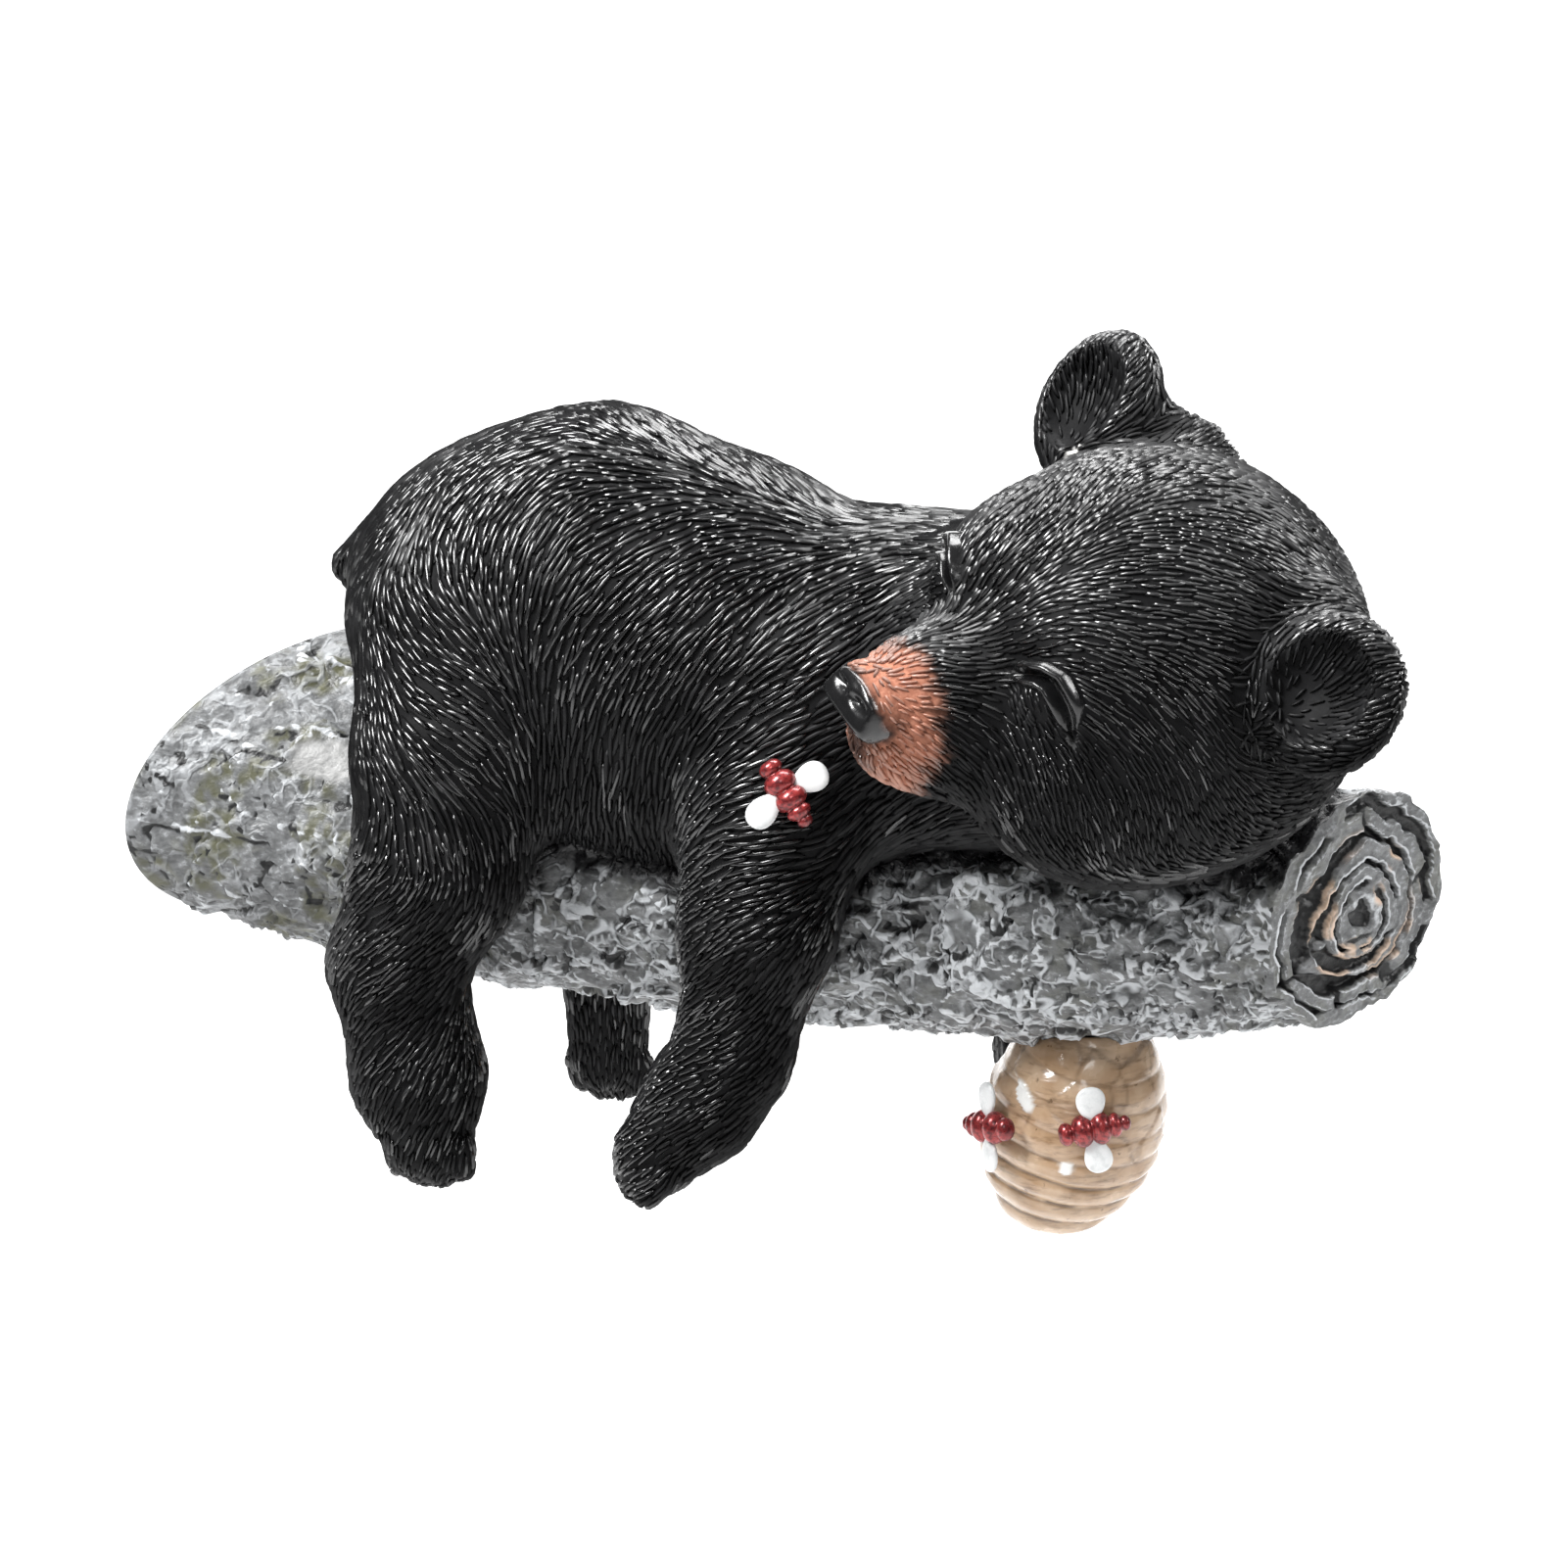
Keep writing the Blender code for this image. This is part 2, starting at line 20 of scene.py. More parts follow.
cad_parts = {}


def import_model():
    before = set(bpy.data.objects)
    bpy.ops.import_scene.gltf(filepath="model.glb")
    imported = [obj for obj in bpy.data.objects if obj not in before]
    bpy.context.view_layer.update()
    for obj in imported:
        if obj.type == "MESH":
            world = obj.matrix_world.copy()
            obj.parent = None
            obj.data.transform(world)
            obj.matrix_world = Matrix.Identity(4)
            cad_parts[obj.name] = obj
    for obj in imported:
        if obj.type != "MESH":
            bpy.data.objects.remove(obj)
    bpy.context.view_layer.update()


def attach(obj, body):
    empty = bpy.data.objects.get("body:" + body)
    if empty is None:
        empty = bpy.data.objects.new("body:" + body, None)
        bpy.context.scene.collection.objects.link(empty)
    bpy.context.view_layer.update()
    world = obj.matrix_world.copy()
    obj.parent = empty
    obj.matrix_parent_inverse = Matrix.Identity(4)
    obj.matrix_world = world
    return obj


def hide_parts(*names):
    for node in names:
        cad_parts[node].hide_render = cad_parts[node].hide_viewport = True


LOG = logging.getLogger("sleeping_bear")

Points = np.ndarray
Values = np.ndarray
Field = Callable[[Points], Values]
Triple = tuple[float, float, float]
Socket = bpy.types.NodeSocket
Material = bpy.types.Material
Item = bpy.types.Object

MM = 0.001
TINY = 1e-9
FAR = 1e3
BOTH_SIDES = (1.0, -1.0)
BRANCH_ANGLE = 50.0
TURN = math.radians(BRANCH_ANGLE)
AXES = np.array([
    [math.cos(TURN), -math.sin(TURN), 0.0],
    [math.sin(TURN), math.cos(TURN), 0.0],
    [0.0, 0.0, 1.0],
])


def to_room(points: Points) -> Points:
    """Turn millimetres of the turned frame into metres of the room's frame."""
    return np.asarray(points) @ AXES * MM


def smooth_step(low: float, high: float, value: Values) -> Values:
    """Give zero below low, one above high, and a smooth rise between."""
    share = np.clip((value - low) / (high - low), 0.0, 1.0)
    return share * share * (3.0 - 2.0 * share)


def unit(rows: Points) -> Points:
    """Give every row a length of one."""
    return rows / np.maximum(np.linalg.norm(rows, axis=-1, keepdims=True), TINY)


def hump(value: Values, middle: Values | float, wide: Values | float) -> Values:
    """Give one at the middle, falling off smoothly on both sides."""
    return np.exp(-((value - middle) / wide) ** 2)


def blend(first: Values, second: Values, soft: float) -> Values:
    """Give the nearer of two distances, rounded where the forms meet."""
    reach = np.maximum(soft - np.abs(first - second), 0.0) / soft
    return np.minimum(first, second) - reach * reach * soft * 0.25


def carve(first: Values, second: Values, soft: float) -> Values:
    """Give the first form with the second taken away, rounded at the rim."""
    return -blend(-first, second, soft)


def scattered(cells: np.ndarray, salt: int) -> Values:
    """Give each whole-numbered cell its own even number from 0 to 1.

    Args:
        cells: Rows of three whole numbers.
        salt: Any number; another one gives another set of values.

    Returns:
        One number per row, the same on each run.
    """
    mixed = cells[..., 0] * 73856093 ^ cells[..., 1] * 19349663 ^ cells[..., 2] * 83492791
    mixed = (mixed ^ (salt * 668265263)) & 0xFFFFFFFF
    mixed = ((mixed ^ (mixed >> 15)) * 2246822519) & 0xFFFFFFFF
    mixed = ((mixed ^ (mixed >> 13)) * 3266489917) & 0xFFFFFFFF
    return ((mixed ^ (mixed >> 16)) & 0xFFFFFF) / float(0x1000000)


def cloud(points: Points, size: float, salt: int) -> Values:
    """Give smooth lumps from -1 to 1.

    Args:
        points: Places in millimetres.
        size: Width of a lump in millimetres.
        salt: Picks one set of lumps.

    Returns:
        One value per place.
    """
    scaled = points / size
    cell = np.floor(scaled).astype(np.int64)
    share = scaled - cell
    share = share * share * (3.0 - 2.0 * share)
    total = np.zeros(len(points))
    for corner in range(8):
        step = np.array([corner & 1, corner >> 1 & 1, corner >> 2 & 1])
        weight = np.prod(np.where(step, share, 1.0 - share), axis=1)
        total += weight * scattered(cell + step, salt)
    return total * 2.0 - 1.0


def plates(points: Points, size: float, salt: int) -> tuple[Values, Values, Points]:
    """Break space into uneven plates.

    Args:
        points: Places in millimetres.
        size: Usual width of a plate in millimetres.
        salt: Picks one set of plates.

    Returns:
        How far each place is from its plate's edge, the plate's own random number, and
        the offset from the plate's middle, in millimetres.
    """
    scaled = points / size
    cell = np.floor(scaled).astype(np.int64)
    nearest = np.full(len(points), 9.0)
    second = np.full(len(points), 9.0)
    own = np.zeros(len(points))
    offset = np.zeros_like(scaled)
    for step in np.ndindex(3, 3, 3):
        other = cell + np.array(step) - 1
        middle = other + np.column_stack([scattered(other, salt + axis) for axis in range(3)])
        away = scaled - middle
        reach = np.linalg.norm(away, axis=1)
        closer = reach < nearest
        second = np.where(closer, nearest, np.minimum(second, reach))
        own = np.where(closer, scattered(other, salt + 7), own)
        offset[closer] = away[closer]
        nearest = np.where(closer, reach, nearest)
    return (second - nearest) * size, own, offset * size


def downhill(field: Field, points: Points, step: float = 0.05) -> Points:
    """Give the slope of a field at some places."""
    slope = np.empty_like(points)
    for axis in range(3):
        shift = np.zeros(3)
        shift[axis] = step
        slope[:, axis] = field(points + shift) - field(points - shift)
    return slope / (2.0 * step)


def settle(field: Field, points: Points, rounds: int) -> tuple[Points, Points]:
    """Move places along the slope until they lie on a field's skin.

    Args:
        field: Gives the distance to the skin.
        points: Places near the skin.
        rounds: How many times to move them.

    Returns:
        The moved places, and the way straight out of the skin at each.
    """
    flattest, longest = 0.25, 1.5
    slope = downhill(field, points)
    for number in range(rounds):
        if number:
            slope = downhill(field, points)
        steep = np.maximum((slope * slope).sum(axis=1), flattest)
        move = (field(points) / steep)[:, None] * slope
        length = np.linalg.norm(move, axis=1)
        points = points - move * np.minimum(1.0, longest / np.maximum(length, TINY))[:, None]
    return points, unit(slope)


def grid_values(field: Field, low: Triple, step: float, blocks: np.ndarray,
                block: int) -> np.ndarray:
    """Measure a field on a fine grid, exactly only near its skin.

    Args:
        field: Gives the distance to the skin.
        low: Lowest corner of the grid in millimetres.
        step: Spacing of the fine grid in millimetres.
        blocks: How many coarse blocks there are each way.
        block: How many fine steps a coarse block has.

    Returns:
        The values on the fine grid. Away from the skin only their sign counts.
    """
    margin, batch = 2.1, 200000
    rough_lines = [low[axis] + step * block * np.arange(blocks[axis] + 1) for axis in range(3)]
    grid = np.stack(np.meshgrid(*rough_lines, indexing="ij"), axis=-1)
    rough = field(grid.reshape(-1, 3)).reshape(grid.shape[:3])
    near = np.abs(rough) < step * block * margin
    active = np.zeros(blocks, dtype=bool)
    for corner in np.ndindex(2, 2, 2):
        cut = tuple(slice(corner[axis], corner[axis] + blocks[axis]) for axis in range(3))
        active |= near[cut]
    values = rough[:-1, :-1, :-1]
    for axis in range(3):
        active = np.repeat(active, block, axis=axis)
        values = np.repeat(values, block, axis=axis)
    index = np.argwhere(active)
    values = values.copy()
    for start in range(0, len(index), batch):
        part = index[start:start + batch]
        values[tuple(part.T)] = field(part * step + np.asarray(low))
    return values


def surface_net(field: Field, low: Triple, high: Triple, step: float) -> tuple[Points, np.ndarray]:
    """Lay a net of four-sided faces over a field's skin.

    Args:
        field: Gives the distance to the skin.
        low: Lowest corner of the space to look in, in millimetres.
        high: Highest corner of it.
        step: Width of a face.

    Returns:
        The corners, and four corner numbers per face.
    """
    block = 4
    room = np.asarray(high) - np.asarray(low)
    blocks = np.ceil(room / (step * block)).astype(int) + 1
    values = grid_values(field, low, step, blocks, block)
    cells = [count - 1 for count in values.shape]
    total = np.zeros((cells[0] * cells[1] * cells[2], 3), dtype=np.float32)
    number = np.zeros(len(total), dtype=np.float32)
    quads = []
    for axis in range(3):
        first = np.moveaxis(values, axis, 0)[:-1]
        second = np.moveaxis(values, axis, 0)[1:]
        crossing = np.argwhere((first < 0.0) != (second < 0.0))
        low_value = first[tuple(crossing.T)]
        high_value = second[tuple(crossing.T)]
        order = [axis] + [other for other in range(3) if other != axis]
        index = np.empty_like(crossing)
        for place, original in enumerate(order):
            index[:, original] = crossing[:, place]
        point = index.astype(float)
        point[:, axis] += low_value / (low_value - high_value)
        across, along = (axis + 1) % 3, (axis + 2) % 3
        corners = []
        for back_across, back_along in ((1, 1), (0, 1), (0, 0), (1, 0)):
            cell = index.copy()
            cell[:, across] -= back_across
            cell[:, along] -= back_along
            flat = (cell[:, 0] * cells[1] + cell[:, 1]) * cells[2] + cell[:, 2]
            np.add.at(total, flat, point)
            np.add.at(number, flat, 1.0)
            corners.append(flat)
        quad = np.column_stack(corners)
        inward = low_value >= 0.0
        quad[inward] = quad[inward][:, ::-1]
        quads.append(quad)
    used = np.flatnonzero(number)
    renumber = np.full(len(total), -1)
    renumber[used] = np.arange(len(used))
    corners = total[used].astype(float) / number[used][:, None] * step + np.asarray(low)
    return corners, renumber[np.vstack(quads)]


def path_reach(flat: Points, path: tuple[tuple[float, float], ...]) -> tuple[Values, Values, Values]:
    """Measure places on a plane against a line of straight runs.

    Args:
        flat: Places on the plane, two numbers each.
        path: The line's corners.

    Returns:
        The distance to the line, which side of it a place is on, and how far along the
        line its nearest point is, from 0 to 1.
    """
    best = np.full(len(flat), FAR)
    side = np.zeros(len(flat))
    share = np.zeros(len(flat))
    runs = len(path) - 1
    for number in range(runs):
        start = np.array(path[number])
        run = np.array(path[number + 1]) - start
        offset = flat - start
        part = np.clip(offset @ run / float(run @ run), 0.0, 1.0)
        reach = np.linalg.norm(offset - part[:, None] * run, axis=1)
        closer = reach < best
        best = np.where(closer, reach, best)
        side = np.where(closer, np.sign(run[0] * offset[:, 1] - run[1] * offset[:, 0]), side)
        share = np.where(closer, (number + part) / runs, share)
    return best, side, share


def mesh_object(name: str, points: Points, faces: list[np.ndarray],
                materials: list[Material], measures: dict[str, Values] | None = None,
                parts: Values | None = None, flat: np.ndarray | None = None) -> Item:
    """Make a smooth mesh object.

    Args:
        name: The piece's name.
        points: Corners in millimetres of the turned frame.
        faces: Arrays of faces, each array with its own number of corners per face.
        materials: The materials, in the order that parts counts them.
        measures: Named numbers to keep at each corner, for the paint to read.
        parts: The material number of each face.
        flat: True for each face that isn't smooth, so that its neighbours' shading stays.

    Returns:
        The object, linked to the scene.
    """
    mesh = bpy.data.meshes.new(name)
    room = to_room(points)
    mesh.vertices.add(len(room))
    mesh.vertices.foreach_set("co", room.astype(np.float32).ravel())
    loops = np.concatenate([part.ravel() for part in faces]).astype(np.int32)
    sizes = np.concatenate([np.full(len(part), part.shape[1]) for part in faces]).astype(np.int32)
    mesh.loops.add(len(loops))
    mesh.loops.foreach_set("vertex_index", loops)
    mesh.polygons.add(len(sizes))
    starts = np.concatenate([[0], np.cumsum(sizes)[:-1]]).astype(np.int32)
    mesh.polygons.foreach_set("loop_start", starts)
    for material in materials:
        mesh.materials.append(material)
    if parts is not None:
        mesh.polygons.foreach_set("material_index", np.asarray(parts, dtype=np.int32))
    smooth = np.ones(len(sizes), dtype=bool) if flat is None else ~flat
    mesh.polygons.foreach_set("use_smooth", smooth)
    mesh.update(calc_edges=True)
    mesh.validate()
    for measure, values in (measures or {}).items():
        kept = mesh.attributes.new(measure, "FLOAT", "POINT")
        kept.data.foreach_set("value", np.asarray(values, dtype=np.float32))
    item = bpy.data.objects.new(name, mesh)
    bpy.context.scene.collection.objects.link(item)
    return item


def grid_faces(rows: int, sides: int, start: int = 0) -> np.ndarray:
    """Give the four-sided faces of rows of rings, one ring after another."""
    row, side = np.meshgrid(np.arange(rows - 1), np.arange(sides), indexing="ij")
    after = (side + 1) % sides
    low, high = start + row * sides, start + (row + 1) * sides
    return np.stack([low + side, low + after, high + after, high + side], axis=-1).reshape(-1, 4)


def ring_cap(sides: int, first: int = 0, under: bool = False) -> np.ndarray:
    """Give the triangles that close a ring of corners, turned over where it is seen from under."""
    side = np.arange(1, sides - 1)
    fan = np.stack([first + side, first + side + 1, np.full(sides - 2, first)], axis=-1)
    return fan[:, ::-1] if under else fan


class Painter:
    """Lays out the nodes of one Principled material."""

    def __init__(self, name: str) -> None:
        """Start from a plain Principled material of that name."""
        self.material = bpy.data.materials.new(name)
        self.material.use_nodes = True
        self.tree = self.material.node_tree
        self.shader = self.tree.nodes["Principled BSDF"]
        self.place = self.tree.nodes.new("ShaderNodeTexCoord").outputs["Object"]

    def wire(self, source: object, socket: Socket) -> None:
        """Link a socket to another, or set it to a number or colour."""
        if isinstance(source, Socket):
            self.tree.links.new(source, socket)
        elif isinstance(source, tuple) and len(source) == 3 and socket.type == "RGBA":
            socket.default_value = (*source, 1.0)
        else:
            socket.default_value = source

    def node(self, kind: str, sources: dict[int | str, object], **settings: str) -> bpy.types.Node:
        """Add a node with its settings, and with a source for each of its inputs."""
        node = self.tree.nodes.new("ShaderNode" + kind)
        for name, setting in settings.items():
            setattr(node, name, setting)
        for socket, source in sources.items():
            self.wire(source, node.inputs[socket])
        return node

    def measure(self, name: str) -> Socket:
        """Read a number kept at the mesh's corners."""
        return self.node("Attribute", {}, attribute_name=name).outputs["Fac"]

    def moved(self, shift: Triple) -> Socket:
        """Give each place with a fixed step added to it."""
        return self.node("VectorMath", {0: self.place, 1: shift}).outputs["Vector"]

    def noise(self, place: Socket, size: float, detail: float,
              rough: float = 0.5) -> bpy.types.Node:
        """Make a noise, read at a place, whose largest lumps have a size in metres."""
        return self.node("TexNoise", {"Scale": 1.0 / size, "Detail": detail, "Roughness": rough,
                                      "Vector": place})

    def grain(self, size: float, detail: float = 3.0, stretch: Triple = (1.0, 1.0, 1.0),
              rough: float = 0.55) -> Socket:
        """Make a noise that is read at each place of the object.

        Args:
            size: Width of its largest lumps in metres.
            detail: How many finer layers it has.
            stretch: Scale along each axis before the noise.
            rough: Strength of the finer layers.

        Returns:
            The noise's value, about 0.5 in the middle.
        """
        place = self.place
        if stretch != (1.0, 1.0, 1.0):
            place = self.node("Mapping", {"Scale": stretch, "Vector": place}).outputs["Vector"]
        return self.noise(place, size, detail, rough).outputs["Fac"]

    def remap(self, value: object, low: float, high: float, to_low: float = 0.0,
              to_high: float = 1.0) -> Socket:
        """Stretch a value from one range onto another, held at its ends."""
        sources = {"Value": value, "From Min": low, "From Max": high, "To Min": to_low, "To Max": to_high}
        return self.node("MapRange", sources).outputs["Result"]

    def ragged(self, value: object, grain: object, low: float, high: float) -> Socket:
        """Cut a soft value to a clear edge that a noise makes ragged."""
        shaken = self.plus(value, self.remap(grain, 0.3, 0.7, -0.12, 0.12))
        return self.remap(shaken, low, high)

    def veins(self, size: float, shift: Triple = (0.0, 0.0, 0.0)) -> Socket:
        """Give a value that is nought along winding lines.

        Args:
            size: Width of the lumps that the lines wind about, in metres.
            shift: Where to read the lines, from each place, in metres.

        Returns:
            The value, which grows on both sides of a line.
        """
        noise = self.noise(self.moved(shift), size, 1.0)
        return self.combine("ABSOLUTE", self.combine("SUBTRACT", noise.outputs["Fac"], 0.5), 0.0)

    def cell_edges(self, size: float, warp: float,
                   shift: Triple = (0.0, 0.0, 0.0)) -> Socket:
        """Measure how far places are from the edges of uneven cells with bent sides.

        Args:
            size: Usual width of a cell in metres.
            warp: How far the sides are bent, in metres.
            shift: Where to read the cells, from each place, in metres.

        Returns:
            The distance in shares of the cell's width.
        """
        moved = self.moved(shift)
        lumps = self.noise(moved, size * 0.7, 2.0).outputs["Color"]
        bent = self.node("VectorMath", {0: lumps, 1: (warp, warp, warp), 2: moved},
                         operation="MULTIPLY_ADD").outputs["Vector"]
        return self.node("TexVoronoi", {"Scale": 1.0 / size, "Vector": bent},
                         feature="DISTANCE_TO_EDGE").outputs["Distance"]

    def combine(self, operation: str, first: object, second: object) -> Socket:
        """Do one sum on two values."""
        return self.node("Math", {0: first, 1: second}, operation=operation).outputs[0]

    def plus(self, first: object, second: object) -> Socket:
        """Add two values."""
        return self.combine("ADD", first, second)

    def times(self, first: object, second: object) -> Socket:
        """Multiply two values."""
        return self.combine("MULTIPLY", first, second)

    def mix(self, share: object, first: object, second: object) -> Socket:
        """Mix two colours, all second where share is one."""
        return self.node("Mix", {"Factor": share, 6: first, 7: second}, data_type="RGBA").outputs[2]

    def bump(self, height: object, strength: float, depth: float,
             under: Socket | None = None) -> Socket:
        """Make a bump.

        Args:
            height: The value to read as height.
            strength: How much of it shows, from 0 to 1.
            depth: Its depth in metres.
            under: A bump that lies below this one.

        Returns:
            The bent normal.
        """
        sources = {"Strength": strength, "Distance": depth, "Height": height}
        if under is not None:
            sources["Normal"] = under
        return self.node("Bump", sources).outputs["Normal"]

    def finish(self, colour: object, roughness: object, normal: Socket,
               coat: float = 0.0, coat_roughness: float = 0.1,
               metallic: object = 0.0) -> Material:
        """Set the shader's main sockets and give the material back."""
        sources = {"Base Color": colour, "Roughness": roughness, "Metallic": metallic,
                   "Normal": normal, "Coat Weight": coat, "Coat Roughness": coat_roughness}
        for name, source in sources.items():
            self.wire(source, self.shader.inputs[name])
        return self.material


class Coat(Enum):
    """The kinds of surface that the fur's paint lies on."""

    STROKES = "raised strokes"
    # Less shiny strokes in hollows and low down: painted shade.
    SHADE_DULLED = "raised strokes in hollows and low down, where the paint has dried matt"
    GROOVES = "sunk skin between them"
    SMOOTH = "nose pad and folds of the eyes"


@dataclass(frozen=True)
class FurPaint:
    """Black satin paint on the carved fur, with the airbrushed tan muzzle, a painted sheen on the top of
    the head and painted shade in the hollows.
    """

    black: Triple = (0.0050, 0.0050, 0.0054)
    dust: Triple = (0.018, 0.018, 0.019)
    # Lighter grey for head strokes that face up: a painted sheen from the light above.
    top_sheen_and_coil_depth: Triple = (0.040, 0.040, 0.041)
    tan: Triple = (0.49, 0.225, 0.150)
    # Darker tan, painted as shade on the sunk skin between strokes.
    tan_shaded: Triple = (0.20, 0.066, 0.038)
    white: Triple = (0.80, 0.79, 0.76)

    def material(self, name: str, coat: Coat) -> Material:
        """Make the paint.

        Args:
            name: The material's name.
            coat: The kind of surface that it lies on.

        Returns:
            The material.
        """
        strands = coat in (Coat.STROKES, Coat.SHADE_DULLED)
        # The sunk skin between strokes has little shine and little dust, which paints shade in the gaps;
        # the strokes in hollows and low down also have little shine as painted shade, with more dust to
        # keep them grey. The dust itself lies in random blotches.
        satin, matt, shine, most_dust = {
            Coat.STROKES: (0.17, 0.31, 0.88, 0.50),
            Coat.SHADE_DULLED: (0.35, 0.49, 0.20, 1.00),
            Coat.GROOVES: (0.50, 0.60, 0.09, 0.25),
            Coat.SMOOTH: (0.20, 0.29, 0.60, 0.10),
        }[coat]
        paint = Painter(name)
        blotch = paint.grain(0.009, 4.0)
        speck = paint.grain(0.0007, 2.0)
        dusty = paint.remap(blotch, 0.42, 0.72, 0.0, most_dust)
        colour = paint.mix(dusty, self.black, self.dust)
        # Tan is darker on the sunk skin and smooth parts than on the strokes: painted shade, broken by a
        # random speckle.
        deep = paint.remap(speck, 0.40, 0.62, 0.15 if strands else 0.65, 0.0 if strands else 0.25)
        tan = paint.mix(deep, self.tan, self.tan_shaded)
        colour = paint.mix(paint.measure("tan"), colour, tan)
        colour = paint.mix(paint.measure("fleck"), colour, self.white)
        rough = paint.remap(paint.grain(0.0025, 3.0), 0.3, 0.7, satin, matt)
        if strands:
            rough = paint.plus(rough, paint.remap(paint.grain(0.012, 3.0), 0.46, 0.64, -0.03, 0.13))
        rough = paint.plus(rough, paint.times(paint.measure("tan"), 0.16))
        normal = paint.bump(speck, 0.15 if strands else 0.35, 0.00012)
        paint.shader.inputs["Specular IOR Level"].default_value = shine
        if strands:
            sunk = paint.remap(paint.measure("deep"), 0.35, 0.90)
            rough = paint.plus(rough, paint.times(sunk, 0.30))
            # Head strokes that face up are painted lighter and rougher: a painted sheen.
            rough = paint.plus(rough, paint.times(paint.measure("top_sheen_and_coil_depth"), 0.13))
            colour = paint.mix(paint.times(paint.measure("top_sheen_and_coil_depth"), 0.6), colour, self.top_sheen_and_coil_depth)
            wave = paint.combine("SINE", paint.times(paint.measure("across"), 6.0), 0.0)
            normal = paint.bump(wave, 0.30, 0.00004, normal)
        return paint.finish(colour, rough, normal)


@dataclass(frozen=True)
class BarkPaint:
    """Grey bark, black in its cracks, brushed paler on its ridges and stained green, with a painted
    shadow below each pale rim.
    """

    dark: Triple = (0.060, 0.062, 0.063)
    grey: Triple = (0.122, 0.126, 0.128)
    mid: Triple = (0.200, 0.206, 0.210)
    ridge: Triple = (0.56, 0.58, 0.60)
    # Black in the cracks, also used for the painted shadow below the rims.
    crack: Triple = (0.008, 0.0085, 0.009)
    moss: Triple = (0.088, 0.088, 0.043)
    cream: Triple = (0.72, 0.50, 0.34)
    pale_patch: Triple = (0.33, 0.33, 0.325)
    # Black paint strayed from the fur, with painted shade where the cub lies on the branch.
    spray_and_shade: Triple = (0.010, 0.010, 0.011)

    def material(self, name: str) -> Material:
        """Make the paint."""
        paint = Painter(name)
        fine = paint.grain(0.0013, 5.0, (1.0, 1.0, 1.6))
        broad = paint.grain(0.008, 4.0)
        colour = paint.mix(paint.measure("tone"), self.grey, self.mid)
        colour = paint.mix(paint.measure("root"), colour, self.mid)
        colour = paint.mix(paint.remap(broad, 0.42, 0.66, 0.0, 0.55), colour, self.dark)
        colour = paint.mix(paint.remap(fine, 0.50, 0.36, 0.0, 0.55), colour, self.dark)
        colour = paint.mix(paint.remap(fine, 0.55, 0.74, 0.0, 0.55), colour, self.ridge)
        colour = paint.mix(paint.measure("moss"), colour, self.moss)
        relief = None
        # Each pale rim line gets a painted shadow: the same line read 0.6 mm higher, so that it lies just
        # below the rim, painted in the cracks' black.
        here, below = (0.0, 0.0, 0.0), (0.0, 0.0, 0.0006)
        thick = [paint.veins(0.0058, shift) for shift in (here, below)]
        cells = [paint.cell_edges(0.0082, 0.0080, shift) for shift in (here, below)]
        thin = [paint.veins(0.0030, shift) for shift in (here, below)]
        calm = paint.remap(paint.measure("root"), 0.0, 0.45, 1.0, 0.38)
        for patch, (line, shadow), narrow, wide, strength in (
                (0.0095, thick, 0.018, 0.045, 0.90),
                (0.0110, cells, 0.028, 0.064, 0.85),
                (0.0050, thin, 0.022, 0.060, 0.60)):
            where = paint.remap(paint.grain(patch, 2.0), 0.49, 0.55, 0.0, strength)
            where = paint.times(where, paint.times(calm, paint.measure("flaked")))
            shade = paint.remap(shadow, narrow * 1.2, wide * 1.3, 0.9, 0.0)
            colour = paint.mix(paint.times(shade, where), colour, self.crack)
            rim = paint.times(paint.remap(line, narrow, wide, 1.0, 0.0), where)
            colour = paint.mix(rim, colour, self.ridge)
            relief = paint.bump(rim, 0.8, 0.0004, relief)
        colour = paint.mix(paint.ragged(paint.measure("ridge"), fine, 0.58, 0.82), colour, self.ridge)
        # A smoother, paler patch of bark next to the haunch.
        pale_patch_cover = paint.times(paint.measure("pale_patch"), paint.remap(fine, 0.35, 0.65, 0.65, 1.0))
        colour = paint.mix(pale_patch_cover, colour, self.pale_patch)
        colour = paint.mix(paint.measure("cream"), colour, self.cream)
        colour = paint.mix(paint.ragged(paint.measure("crack"), fine, 0.36, 0.56), colour, self.crack)
        colour = paint.mix(paint.measure("spray_and_shade"), colour, self.spray_and_shade)
        rough = paint.remap(fine, 0.3, 0.7, 0.32, 0.54)
        rough = paint.combine("SUBTRACT", rough, paint.times(paint.measure("spray_and_shade"), 0.12))
        normal = paint.bump(fine, 0.7, 0.00035, relief)
        normal = paint.bump(paint.grain(0.0005, 2.0), 0.3, 0.0001, normal)
        return paint.finish(colour, rough, normal)


